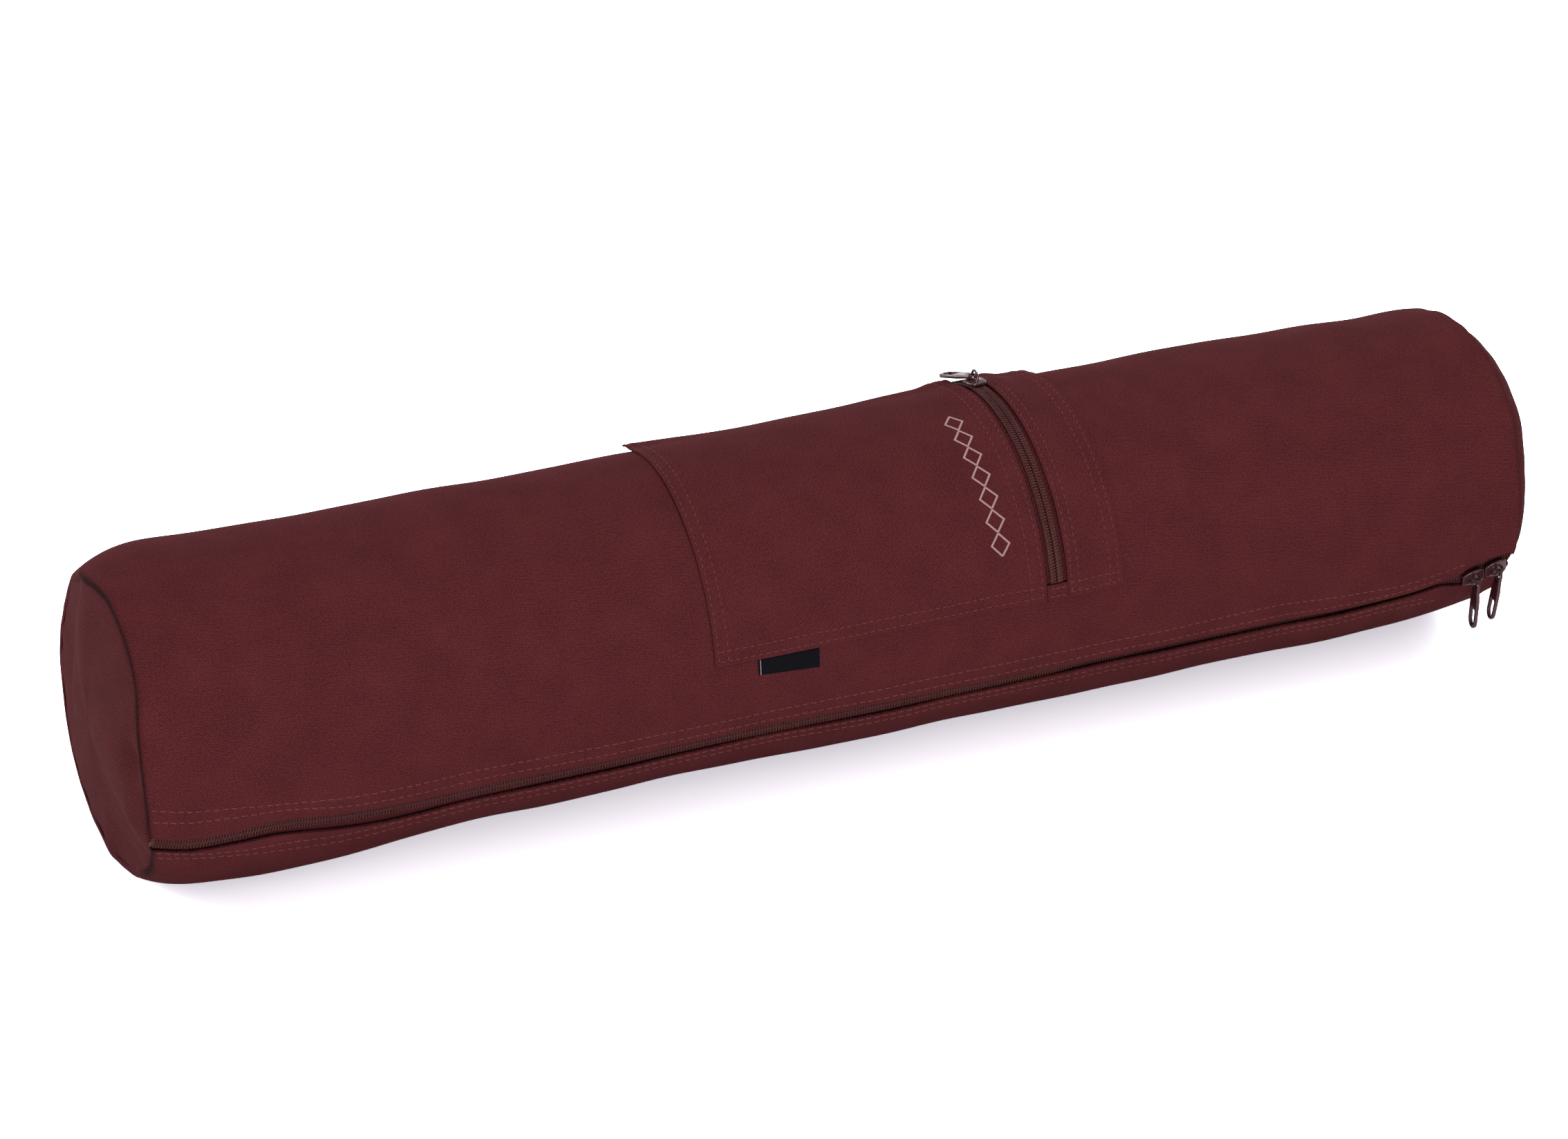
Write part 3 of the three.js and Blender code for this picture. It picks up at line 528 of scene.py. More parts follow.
# %% The rolled canvas as one sheet
def body_sheet(rows=300, columns=236, fold=6.0, lip=0.75):
    """Rows run along the bag, denser near its ends. Each column has an angle: under the hem, round a half circle
    of the lip's radius, over the bag, round the other lip and under its hem. Past the last rows the cloth turns
    in over the end seam on a quarter circle."""
    t = np.linspace(-1, 1, rows)
    reach = half_length - canvas_wall
    along = reach * (0.62 * t + 0.38 * np.sin(0.5 * math.pi * t))
    lift = np.zeros(rows)
    quarter = np.radians([18, 36, 54, 72, 90])
    turn_in = np.concatenate([reach + canvas_wall * np.sin(quarter), [half_length, half_length - 0.2]])
    drop = np.concatenate([canvas_wall * (np.cos(quarter) - 1), [-2.6, -3.8]])
    along = np.concatenate([-turn_in[::-1], along, turn_in])[:, None]
    lift = np.concatenate([drop[::-1], lift, drop])[:, None]
    half_turn = np.radians(np.linspace(-90, 90, 7))
    shifts = np.concatenate([[fold, 0.5 * fold, 2 * lip], lip - lip * np.cos(half_turn)])
    dips = np.concatenate([[-2 * lip] * 3, lip * np.sin(half_turn) - lip])
    share = np.linspace(0, 1, columns)[None, 1:-1]
    start = upper_edge(along) + degrees_for(lip)
    finish = 360 + lower_edge(along) - degrees_for(lip)
    angle = np.concatenate([
        upper_edge(along) + degrees_for(shifts)[None, :],
        start + (finish - start) * share,
        360 + lower_edge(along) - degrees_for(shifts[::-1])[None, :],
    ], axis=1)
    hem = np.concatenate([dips, np.zeros(columns - 2), dips[::-1]])[None, :]
    points = bag_point(along, angle, lift + hem + body_relief(along, angle))
    weave = np.stack(np.broadcast_arrays(along + 0 * angle, np.radians(angle) * body_radius), axis=-1)
    # Painted shade: dark close to each end seam, except where the seam faces open air, and 0.6 over the turned-under
    # hems at the zip.
    near = np.exp(-np.maximum(half_length - np.abs(along), 0) / 0.6) * (1 - far_side(angle))
    painted_shade = np.clip(near + np.where(hem < 0, 0.6, 0.0), 0, 1)
    return points, weave, painted_shade


body_points, body_weave, body_painted_shade = body_sheet()
rows, columns = body_points.shape[:2]
body_cloth = make_piece("body_cloth", body_points.reshape(-1, 3), grid_faces(rows, columns), body_finish,
                        weave=body_weave.reshape(-1, 2), marks={"painted_shade": body_painted_shade.ravel()})
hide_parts("body_panel")

# %% [markdown]
# ## The round ends
# Each end is a disc of the same twill, sewn in with a seam whose edges turn inwards, so a dark line shows
# between the tube and the disc: a real dip in the cloth, darkened further by painted shade. The left disc is
# pushed in past a soft ridge and the right one bulges like a cushion. Each is a dome: rings from the rim to the
# middle, where the grid closes in one point.

# %% Domes of the two ends
# Columns: angle, crest (a share of the way from the middle to the rim)
left_crest = np.array([[95, 1], [102, 0.93], [131, 0.52], [180, 0.37], [253, 0.34], [292, 0.57], [319, 0.92],
                       [325, 1]])


def left_dome(share, angle):
    """9 mm high at its middle, 9 (1 - s^2.4), falling by two thirds beyond its crest, with a dent by the seam."""
    crest = follow(left_crest[:, 0], left_crest[:, 1], np.mod(angle, 360))
    dent = np.exp(-(((share - 0.84) / 0.11) ** 2) - ((turn_between(angle, 14.0)) / 9) ** 2)
    puff = np.exp(-(((share - 0.8) / 0.12) ** 2) - ((turn_between(angle, -14.0)) / 13) ** 2)
    return 9 * (1 - share**2.4) * (1 - 0.7 * smooth_step((share - crest) / 0.17)) - 3.6 * dent + 2.2 * puff


def right_dome(share, angle):
    """14 mm high and flat, 14 (1 - s^7), and a little fuller towards its top."""
    return 14 * (1 - share**7) * (1 + 0.2 * share * np.sin(np.radians(angle)))


def end_disc(side, dome, rings=92, sectors=288):
    """Rings of points from the sewn rim to the middle. The rim starts in the seam's fold, and the cloth rolls
    out of it within 2 mm. Gathers run inwards from it and die away in a fifth of the way. A mark of painted
    shade lies along the rim."""
    rim_share = 1 - np.linspace(0, 1, rings) ** 1.7
    share = rim_share[:-1, None]
    angle = (360 * np.arange(sectors) / sectors)[None, :]
    rim = half_length - end_inset
    edge = bag_point(side * rim + 0 * angle, angle, -(canvas_wall + end_gap * (1 - far_side(angle))))
    roll = np.exp(-(1 - share) * body_radius / 1.1) * (1 - 0.85 * far_side(angle))
    folds = gathers(angle, side) * np.exp(-(1 - share) * body_radius / 13) * (1 - 0.8 * roll)
    height = dome(share, angle) - 1.5 * roll + 0.9 * folds
    height += 0.5 * np.sin(3 * np.radians(angle) + 4 * share + side) * share * (1 - share) * 2
    x = side * (rim + height) + (edge[..., 0] - side * rim) * share
    y = edge[..., 1] * share
    z = axis_height + (edge[..., 2] - axis_height) * share
    points = np.stack(np.broadcast_arrays(x, y, z), axis=-1).reshape(-1, 3)
    middle = [[side * (rim + dome(np.array(0.0), np.array(0.0))), 0, axis_height]]
    points = np.concatenate([points, middle])
    faces = grid_faces(rings - 1, sectors, wrap=True)
    last = (rings - 2) * sectors
    j = np.arange(sectors)
    fan = np.stack([last + j, 0 * j + len(points) - 1, last + (j + 1) % sectors], axis=-1)
    faces = faces.tolist() + fan.tolist()
    if side > 0:
        faces = [face[::-1] for face in faces]
    # Painted shade along the sewn rim, except where the seam turns its edge to open air.
    facing = 1 - far_side(angle)
    painted_shade = np.concatenate([(np.exp(-(1 - share) * body_radius / 1.0) * facing).ravel(), [0]])
    return points, faces, points[:, 1:], painted_shade


for side, name, dome in ((-1, "left", left_dome), (1, "right", right_dome)):
    disc_points, disc_faces, disc_weave, disc_painted_shade = end_disc(side, dome)
    disc = make_piece(f"end_cloth_{name}", disc_points, disc_faces, end_finish, slot="end_canvas",
                      weave=disc_weave, marks={"painted_shade": disc_painted_shade})
    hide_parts(f"end_panel_{name}")

# %% [markdown]
# ## Cloth with a turned rim
# The pocket, the tapes and the label are thin cloth whose rims show. Each is two grids, outside and inside, that
# meet in a round rim. With d the distance to the nearest edge, R the rim's reach and T the thickness, half the
# thickness is T/2 · sqrt(1 - (1 - d/R)²). Rows of points crowd towards the edges, so the rim stays round.


# %% Two grids that meet in a round rim
def crowded(start, finish, count, reach):
    """Places from start to finish: close together over the reach at both ends, and even between."""
    close = reach * (1 - np.cos(np.linspace(0, 0.5 * math.pi, 6)))
    between = np.linspace(start + reach, finish - reach, count)[1:-1]
    return np.concatenate([start + close, between, finish - close[::-1]])


def rimmed(middle, outwards, half, weave):
    """The closed shell whose outside is middle + half · outwards and whose inside is middle - half · outwards."""
    rows, columns = half.shape
    outside = (middle + half[..., None] * outwards).reshape(-1, 3)
    inside = (middle - half[..., None] * outwards).reshape(-1, 3)
    number = np.arange(rows * columns).reshape(rows, columns)
    under = number + rows * columns
    for edge in (np.s_[0, :], np.s_[-1, :], np.s_[:, 0], np.s_[:, -1]):
        under[edge] = number[edge]
    faces = grid_faces(rows, columns)
    faces = np.concatenate([faces, under.ravel()[faces][:, ::-1]])
    used, faces = np.unique(faces, return_inverse=True)
    points = np.concatenate([outside, inside])[used]
    return points, faces.reshape(-1, 4), np.concatenate([weave, weave])[used], used


def strip_shell(along, angle, lift, thickness, rim):
    """A rimmed piece that lies on the bag, over a grid of places along it (rows) and angles round it (columns)."""
    along, angle, lift = np.broadcast_arrays(along, angle, lift)
    arc = np.radians(angle) * body_radius
    gap = np.minimum(np.minimum(along - along[0], along[-1] - along),
                     np.minimum(arc - arc[:, :1], arc[:, -1:] - arc))
    half = 0.5 * thickness * np.sqrt(1 - (1 - np.clip(gap / rim, 0, 1)) ** 2)
    middle = bag_point(along, angle, lift)
    turn = np.radians(angle)
    outwards = np.stack([0 * turn, -np.cos(turn), np.sin(turn)], axis=-1)
    return rimmed(middle, outwards, half, np.stack([along, arc], axis=-1).reshape(-1, 2))


# %% [markdown]
# ## The patch pocket
# The pocket is a rectangle of twill with its edges turned under twice, which makes them stand up a little, and
# two rows of stitches pinch them down. Its short zip parts it into a wide piece and a narrow strip.

# %% Sizes and height of the pocket
seat_gap = 0.3
pocket_left, pocket_right = -76.0, 124.0
pocket_zip_left, pocket_zip_right = 85.6, 96.0
pocket_zip_middle = 90.8
pocket_hem_angle = 8.6
pocket_top_angle = pocket_hem_angle + float(degrees_for(146))
pocket_wall = 1.2
pocket_tape_width = 24.0
pocket_hem_rises = np.array([[0, 1], [0.06, 0.95], [0.2, 0.4], [0.36, 0.15], [0.52, 0.2], [0.66, 0.7], [0.8, 1],
                             [0.9, 0.85], [1, 0.5]])
# Stitched rows of the pocket: places along for the upright ones, and angles for the two along the hem
pocket_upright_rows = [-74.0, -69.5, 77.8, 83.4, 97.8, 101.6, 117.6, 121.8]
pocket_hem_rows = [10.4, 13.9]


def pocket_lift(along, angle):
    """The underside of the pocket's cloth: it rises over the zip's tape, and its top hem stands off the bag."""
    from_tape = np.abs(along - pocket_zip_middle) - pocket_tape_width / 2 - seat_gap
    from_top = np.radians(pocket_top_angle - angle) * body_radius
    over_tape = 1.3 * (1 - smooth_step(from_tape / 10))
    rise = 2 * follow(pocket_hem_rises[:, 0], pocket_hem_rises[:, 1], (along - pocket_left) / 200)
    return seat_gap + over_tape + rise * (1 - smooth_step(from_top / 12))


def pocket_relief(along, angle):
    """Hollows like the bag's own, hems that stand 0.3 mm higher, and a groove with puckers at each row."""
    arc = np.radians(angle - pocket_hem_angle) * body_radius
    relief = hollows(along + 40, angle + 15) * 0.6
    to_edge = np.minimum(along - pocket_left, pocket_right - along)
    relief += 0.3 * (1 - smooth_step((np.minimum(to_edge, arc) - 6.5) / 1.5))
    for row in pocket_upright_rows:
        gap = along - row
        relief -= 0.24 * np.exp(-((gap / 0.8) ** 2)) - 0.08 * np.sin(arc * 0.8 + row) * np.exp(-((gap / 3) ** 2))
    for row in pocket_hem_rows:
        gap = np.radians(angle - row) * body_radius
        relief -= 0.24 * np.exp(-((gap / 0.8) ** 2)) - 0.08 * np.sin(along * 0.8 + row) * np.exp(-((gap / 3) ** 2))
    return relief


# %% The pocket's two cloths
def pocket_cloth(name, node_name, start, finish, count):
    """A rimmed shell from start to finish along the bag, from the pocket's hem to its top."""
    along = crowded(start, finish, count, 0.8)[:, None]
    angle = pocket_hem_angle + degrees_for(crowded(0, 146, 170, 0.8))[None, :]
    lift = pocket_lift(along, angle) + 0.5 * pocket_wall + pocket_relief(along, angle)
    points, faces, weave, used = strip_shell(along, angle, lift, pocket_wall, 0.8)
    piece = make_piece(name, points, faces, pocket_finish, slot="pocket_canvas", weave=weave,
                       marks={"painted_shade": np.zeros(len(points))})
    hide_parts(node_name)
    return piece


pocket_main = pocket_cloth("pocket_cloth", "pocket_panel", pocket_left, pocket_zip_left, 180)
pocket_strip = pocket_cloth("pocket_strip", "pocket_side_strip", pocket_zip_right, pocket_right, 34)

# %% The pocket zip's tape and its end tab
end_tab_top = pocket_hem_angle + float(degrees_for(7.4))
zip_start = end_tab_top + float(degrees_for(seat_gap))


def small_shell(name, node_name, along, angle, lift, thickness, rim, material, slot):
    """A rimmed shell with few rows, which stands for one plain node."""
    points, faces, weave, used = strip_shell(along[:, None], np.atleast_2d(angle), lift, thickness, rim)
    low = weave.min(axis=0)
    piece = make_piece(name, points, faces, material, slot=slot, weave=weave - low,
                       marks={"painted_shade": np.zeros(len(points))})
    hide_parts(node_name)
    return piece


tape_along = crowded(pocket_zip_middle - 12, pocket_zip_middle + 12, 16, 0.5)
tape_angle = zip_start + degrees_for(crowded(0, 138.3, 90, 0.5))
pocket_tape = small_shell("pocket_tape_woven", "pocket_zip_tape", tape_along, tape_angle, seat_gap + 0.5, 1.0, 0.5,
                          tape_finish, "zip_tape")
tab_along = crowded(pocket_zip_left, pocket_zip_right, 14, 0.7)
tab_angle = pocket_hem_angle + degrees_for(crowded(0, 7.4, 12, 0.7))
tab_lift = (pocket_lift(tab_along[:, None], tab_angle[None, :]) + 0.7
            + pocket_relief(tab_along[:, None], tab_angle[None, :]))
end_tab = small_shell("pocket_end_tab_cloth", "pocket_zip_end_tab", tab_along, tab_angle, tab_lift, 1.6, 0.7,
                      pocket_finish, "pocket_canvas")
label_top = pocket_hem_angle - float(degrees_for(0.3))
label_along = crowded(-55.3, -26.1, 30, 0.5)
label_drop = 7.4 + 2.0 * (label_along[:, None] + 55.3) / 29.2
label_angle = label_top - degrees_for(label_drop * (1 - crowded(0, 7.4, 12, 0.5)[None, :] / 7.4))
label = small_shell("hem_label_woven", "hem_label", label_along, label_angle, seat_gap + 0.5, 1.0, 0.5, label_finish,
                    "woven_label")

# %% [markdown]
# ## Zips
# A nylon zip has two tapes, each with a row of coil teeth sewn along its edge. A tooth is a short bar with a
# bead at its outer end, a waist where the thread holds it, and a head that meets the other row. One tooth of a
# few dozen faces is worked out once and copied along the zip's line, half a step apart in the two rows.


# %% A short rounded bar
def bar(places, widths, heights, drops, sides=6):
    """Rings across a bar: ring k stands at places[k], an oval of that width and height, lowered by drops[k]."""
    turn = 2 * math.pi * (np.arange(sides) + 0.5) / sides
    rings = np.stack([
        np.repeat(np.asarray(places, float)[:, None], sides, axis=1),
        np.asarray(widths, float)[:, None] * np.cos(turn),
        np.asarray(heights, float)[:, None] * np.sin(turn) - np.asarray(drops, float)[:, None],
    ], axis=-1)
    faces = grid_faces(len(places), sides, wrap=True).tolist()
    last = (len(places) - 1) * sides
    return rings.reshape(-1, 3), faces + [list(range(sides)), [last + k for k in range(sides)][::-1]]


def repeated(shape, faces, centres, axes):
    """Copies of a small shape: each point p lands at centre + axes · p, all worked out in one product."""
    points = centres[:, None, :] + np.einsum("nij,kj->nki", axes, shape)
    count = len(shape)
    all_faces = []
    for face in faces:
        all_faces += (np.asarray(face)[None, :] + count * np.arange(len(centres))[:, None]).tolist()
    return points.reshape(-1, 3), all_faces


def along_path(places, pitch, shift=0.0):
    """Centres at even steps along a line of points, and its direction there."""
    step = np.linalg.norm(np.diff(places, axis=0), axis=1)
    length = np.concatenate([[0], np.cumsum(step)])
    at = np.arange(pitch * (0.5 + shift), length[-1] - 0.3 * pitch, pitch)
    centres = np.stack([np.interp(at, length, places[:, k]) for k in range(3)], axis=-1)
    ahead = np.stack([np.interp(at + 0.2, length, places[:, k]) for k in range(3)], axis=-1)
    behind = np.stack([np.interp(at - 0.2, length, places[:, k]) for k in range(3)], axis=-1)
    forward = ahead - behind
    return centres, forward / np.linalg.norm(forward, axis=1, keepdims=True), at / length[-1]


def axes_from(forward, outwards):
    """Frames whose first column runs forward, the third outwards and the second across."""
    outwards = outwards - np.sum(outwards * forward, axis=1, keepdims=True) * forward
    outwards /= np.linalg.norm(outwards, axis=1, keepdims=True)
    return np.stack([forward, np.cross(outwards, forward), outwards], axis=-1)


def outward_at(angle):
    """The direction straight out of the bag at an angle round it."""
    turn = np.radians(np.asarray(angle, float))
    return np.stack([0 * turn, -np.cos(turn), np.sin(turn)], axis=-1)


# %% Rows of teeth
tooth_pitch = 1.35
tooth_places = [0.0, 0.3, 0.75, 1.35, 1.95, 2.4, 2.65]
tooth_widths = [0.24, 0.44, 0.46, 0.2, 0.46, 0.48, 0.2]
tooth_heights = [0.5, 0.82, 0.82, 0.4, 0.86, 0.86, 0.3]
tooth_points, tooth_faces = bar(tooth_places, tooth_widths, tooth_heights, [0.0] * 7)


def teeth_row(line, line_angle, side, height, shift):
    """Teeth along a line, each turned to lie across it."""
    centres, forward, share = along_path(line, tooth_pitch, shift)
    outwards = outward_at(np.interp(share, np.linspace(0, 1, len(line_angle)), line_angle))
    axes = axes_from(forward, outwards)
    across = axes[:, :, 1] * side
    turned = np.stack([across, axes[:, :, 0] * side, axes[:, :, 2]], axis=-1)
    centres = centres + across * 0.22 + axes[:, :, 2] * (0.5 * height)
    return repeated(tooth_points * [1, 1, 0.5 * height / 0.9], tooth_faces, centres, turned)


def base_cord(line, outwards, side, width, height):
    """A flat bar under the teeth: a four-cornered section carried along the line."""
    forward = np.gradient(line, axis=0)
    forward /= np.linalg.norm(forward, axis=1, keepdims=True)
    axes = axes_from(forward, outwards)
    near, far = (0.25, width) if side > 0 else (-width, -0.25)
    section = np.array([[near, 0.0], [far, 0.0], [far, 0.42 * height], [near, 0.42 * height]])
    points = line[:, None, :] + section[None, :, 0, None] * axes[:, None, :, 1]
    points = points + section[None, :, 1, None] * axes[:, None, :, 2]
    faces = grid_faces(len(line), 4, wrap=True).tolist()
    last = 4 * (len(line) - 1)
    return points.reshape(-1, 3), faces + [[0, 1, 2, 3], [last + 3, last + 2, last + 1, last]]


zip_end = half_length - 0.8
coil_drop = canvas_wall + seat_gap


def teeth_rise(along):
    """How far the zip swells up into its slot: 1.4 mm where both edges stand off it, and nothing at the sliders."""
    room = zip_slot * np.minimum(follow(zip_course[:, 0], zip_course[:, 2], along / half_length),
                                 follow(zip_course[:, 0], zip_course[:, 3], along / half_length))
    return 1.4 * smooth_step((room - 2.5) / 0.7) * (1 - smooth_step((along - 292) / 8))


long_places = np.linspace(-zip_end, zip_end, 500)
long_angles = zip_angle(long_places)
long_line = bag_point(long_places, long_angles, teeth_rise(long_places) - (coil_drop + 2.0))
for side, name, shift in ((1, "upper", 0.0), (-1, "lower", 0.5)):
    parts = [teeth_row(long_line, long_angles, side, 2.0, shift),
             base_cord(long_line, outward_at(long_angles), side, 3.0, 2.0)]
    coil = make_piece(f"coil_teeth_{name}", *joined(parts), coil_finish, slot="zip_coil")
    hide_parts(f"zip_coil_{name}")

pocket_angles = np.linspace(zip_start, pocket_top_angle, 160)
pocket_line = bag_point(pocket_zip_middle, pocket_angles, seat_gap + 1.0 + seat_gap)
for side, name, shift in ((1, "left", 0.0), (-1, "right", 0.5)):
    parts = [teeth_row(pocket_line, pocket_angles, side, 1.6, shift),
             base_cord(pocket_line, outward_at(pocket_angles), side, 3.1, 1.6)]
    coil = make_piece(f"pocket_teeth_{name}", *joined(parts), coil_finish, slot="zip_coil")
    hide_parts(f"pocket_zip_coil_{name}")


# %% The long zip's tapes
def long_tape(side, name):
    """A woven tape 14 mm wide. It runs under the teeth, and steps up to the canvas beside them."""
    along = crowded(-zip_end, zip_end, 200, 0.5)[:, None]
    across = np.concatenate([[0.2, 0.3, 0.6], np.linspace(1.2, 13.2, 16), [13.7, 13.9, 14.0]])[None, :]
    angle = zip_angle(along) + side * degrees_for(across)
    sunk = 1 - smooth_step((across - 3.4) / 2.4)
    top = -coil_drop - (2.0 + seat_gap) * sunk + teeth_rise(along) * sunk
    if side < 0:
        angle, top = angle[:, ::-1], top[:, ::-1]
    points, faces, weave, used = strip_shell(along, angle, top - 0.5, 1.0, 0.5)
    tape = make_piece(f"tape_woven_{name}", points, faces, tape_finish, slot="zip_tape", weave=weave)
    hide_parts(f"zip_tape_{name}")


long_tape(1, "upper")
long_tape(-1, "lower")

# %% [markdown]
# ## Sliders and pulls
# The sliders and pulls are small castings with a plum paint. A casting has no sharp rims, so each plate is a
# flat outline, thickened and rounded at its edges, and the bail is a wire carried along an arch. Two outlines
# can't make holes as a grid can, so the plates start as flat curves, which fill round their holes.

# %% Sizes of the metal parts
slider_length, slider_wide, slider_narrow, slider_wall = 11.0, 9.6, 6.4, 1.3
bail_bar, arch_radius = 1.3, 3.0
pull_length, pull_width, pull_wall, pull_rim, pull_slot = 26.0, 8.5, 1.7, 1.7, 8.5
eye_width, eye_hole, hang_gap = 6.2, 4.2, 0.85
eye_outer = eye_width / 2


# %% Plates with round edges and wires
def arc(centre, radius, start, finish, steps):
    """Points on a circle's arc, between two angles in degrees."""
    turn = np.radians(np.linspace(start, finish, steps))
    return np.stack([centre + radius * np.cos(turn), radius * np.sin(turn)], axis=-1)


def plate(loops, thickness, rounding):
    """A flat curve filled between its loops, thickened, and rounded at its rims, as points and faces."""
    curve = bpy.data.curves.new("outline", "CURVE")
    curve.dimensions = "2D"
    curve.fill_mode = "BOTH"
    curve.extrude = thickness / 2 - rounding
    curve.bevel_depth = rounding
    curve.bevel_resolution = 2
    curve.offset = -rounding
    for loop in loops:
        spline = curve.splines.new("POLY")
        spline.points.add(len(loop) - 1)
        rows = np.concatenate([loop, np.zeros((len(loop), 1)), np.ones((len(loop), 1))], axis=1)
        spline.points.foreach_set("co", rows.ravel())
        spline.use_cyclic_u = True
    holder = bpy.data.objects.new("outline", curve)
    bpy.context.scene.collection.objects.link(holder)
    mesh = bpy.data.meshes.new_from_object(holder.evaluated_get(bpy.context.evaluated_depsgraph_get()))
    shape = bmesh.new()
    shape.from_mesh(mesh)
    bmesh.ops.remove_doubles(shape, verts=shape.verts, dist=0.002)
    bmesh.ops.recalc_face_normals(shape, faces=shape.faces)
    points = np.array([v.co[:] for v in shape.verts])
    faces = [[v.index for v in face.verts] for face in shape.faces]
    shape.free()
    bpy.data.objects.remove(holder)
    bpy.data.curves.remove(curve)
    bpy.data.meshes.remove(mesh)
    return points, faces


def wire(line, radius, sides=10):
    """A round bar carried along a line of points in the X-Z plane, closed at both ends."""
    forward = np.gradient(line, axis=0)
    forward /= np.linalg.norm(forward, axis=1, keepdims=True)
    across = np.tile([0.0, 1.0, 0.0], (len(line), 1))
    upwards = np.cross(forward, across)
    turn = 2 * math.pi * np.arange(sides) / sides
    rings = line[:, None, :] + radius * (np.cos(turn)[None, :, None] * across[:, None, :]
                                         + np.sin(turn)[None, :, None] * upwards[:, None, :])
    faces = grid_faces(len(line), sides, wrap=True).tolist()
    last = sides * (len(line) - 1)
    return rings.reshape(-1, 3), [f[::-1] for f in faces] + [list(range(sides)),
                                                               [last + k for k in range(sides)][::-1]]


# %% Shapes of a slider and a pull
def rounded_outline(corners, radius, steps=4):
    """A polygon whose corners are cut back by a length and joined by short curves."""
    corners = np.asarray(corners, float)
    out = []
    for k in range(len(corners)):
        before, at, after = corners[k - 1], corners[k], corners[(k + 1) % len(corners)]
        a = at + (before - at) / np.linalg.norm(before - at) * radius
        b = at + (after - at) / np.linalg.norm(after - at) * radius
        t = np.linspace(0, 1, steps)[:, None]
        out.append((1 - t) ** 2 * a + 2 * t * (1 - t) * at + t**2 * b)
    return np.concatenate(out)


def slider_outline(shrink=0.0):
    """The slider's plate: six-sided, widest before its middle, less a margin."""
    half, wide, narrow = slider_length / 2 - shrink, slider_wide / 2 - shrink, slider_narrow / 2 - shrink
    upper = [[half, -narrow], [half, narrow], [half * 0.7, wide], [-half * 0.25, wide], [-half, narrow]]
    return upper + [[-half, -narrow], [-half * 0.25, -wide], [half * 0.7, -wide]]


def moved(part, x=0.0, y=0.0, z=0.0):
    """The same part, shifted."""
    return part[0] + [x, y, z], part[1]


def slider_shape(keel, keel_width, arch_middle):
    """A plate with rounded rims, the keel that reaches down to the teeth, and the bail over it."""
    outline = rounded_outline(slider_outline(), 0.9)
    top = moved(plate([outline], slider_wall, 0.42), z=slider_wall / 2)
    length = slider_length * 0.7
    tall = keel + slider_wall / 2
    block = rounded_outline([[-length / 2, -keel_width / 2], [length / 2, -keel_width / 2],
                             [length / 2, keel_width / 2], [-length / 2, keel_width / 2]], 0.5)
    under = moved(plate([block], tall, 0.2), z=-keel + tall / 2)
    turn = np.radians(np.linspace(180, 0, 21))
    arch = np.stack([arch_radius * np.cos(turn), 0 * turn, arch_middle + arch_radius * np.sin(turn)], axis=-1)
    legs = np.array([[-arch_radius, 0, slider_wall / 2]]), np.array([[arch_radius, 0, slider_wall / 2]])
    bail = wire(np.concatenate([legs[0], arch, legs[1]]), bail_bar / 2, 12)
    return joined([top, under, bail])


def pull_shape():
    """A flat pull: an eye, a neck that widens, and a round end with a slot through it."""
    tip, half = pull_length - eye_outer, pull_width / 2
    outline = np.concatenate([
        [[eye_outer, -eye_outer], [eye_outer + half, -half]],
        arc(tip - half, half, -90, 90, 25),
        [[eye_outer + half, half], [eye_outer, eye_outer]],
        arc(0, eye_outer, 90, 270, 21),
    ])
    eye = arc(0, eye_hole / 2, 360, 0, 33)[:-1]
    slot_half = half - pull_rim
    start = tip - pull_rim - pull_slot
    slot = np.concatenate([[[start + 0.4, -slot_half], [start, -slot_half + 0.4], [start, slot_half - 0.4],
                            [start + 0.4, slot_half]], arc(tip - half, slot_half, 90, -90, 21)])
    return plate([outline, eye, slot], pull_wall, 0.4)


# %% Where each slider and pull sits
def set_at(part, origin, axes):
    """A part moved into a frame, given by its origin and the three axes as columns."""
    return origin + part[0] @ axes.T, part[1]


def frame_axes(forward, outwards):
    """One frame: X forward, Z outwards."""
    return axes_from(np.array([forward - np.dot(forward, outwards) * outwards]) /
                     np.linalg.norm(forward - np.dot(forward, outwards) * outwards), np.array([outwards]))[0]


def turn_about(axis, degrees):
    """The rotation by an angle about a unit axis: cos I + sin [axis]x + (1 - cos) axis axisᵀ."""
    c, s = math.cos(math.radians(degrees)), math.sin(math.radians(degrees))
    x, y, z = axis
    cross = np.array([[0, -z, y], [z, 0, -x], [-y, x, 0]])
    return c * np.eye(3) + s * cross + (1 - c) * np.outer(axis, axis)


slider_keel = coil_drop + seat_gap - seat_gap
last_slider = half_length - 9.1
first_slider = last_slider - slider_length - 0.3
long_bar_height = slider_wall + eye_outer + seat_gap
for name, along, lean in (("left", first_slider, 2.0), ("right", last_slider, 8.0)):
    step = slider_length / 4
    course = bag_point(np.array([along - step, along, along + step]),
                       zip_angle(np.array([along - step, along, along + step])), seat_gap)
    axes = frame_axes(course[2] - course[0], outward_at(float(zip_angle(along))))
    origin = course[1]
    shape = slider_shape(slider_keel, 6.2, long_bar_height - arch_radius)
    slider = make_piece(f"slider_metal_{name}", *set_at(shape, origin, axes), metal_finish, slot="painted_metal")
    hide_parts(f"zip_slider_{name}")
    crown = origin + axes @ [0, 0, long_bar_height]
    down = np.array([-math.sin(math.radians(lean)), 0.0, -math.cos(math.radians(lean))])
    thick = axes[:, 0] - np.dot(axes[:, 0], down) * down
    thick = turn_about(down, 5.0) @ (thick / np.linalg.norm(thick))
    pull_axes = np.stack([down, np.cross(thick, down), thick], axis=1)
    eye = crown + down * (eye_hole / 2 - bail_bar / 2 - hang_gap)
    pull = make_piece(f"pull_metal_{name}", *set_at(pull_shape(), eye, pull_axes), metal_finish,
                      body=f"{name}_pull", slot="painted_metal")
    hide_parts(f"zip_pull_{name}")

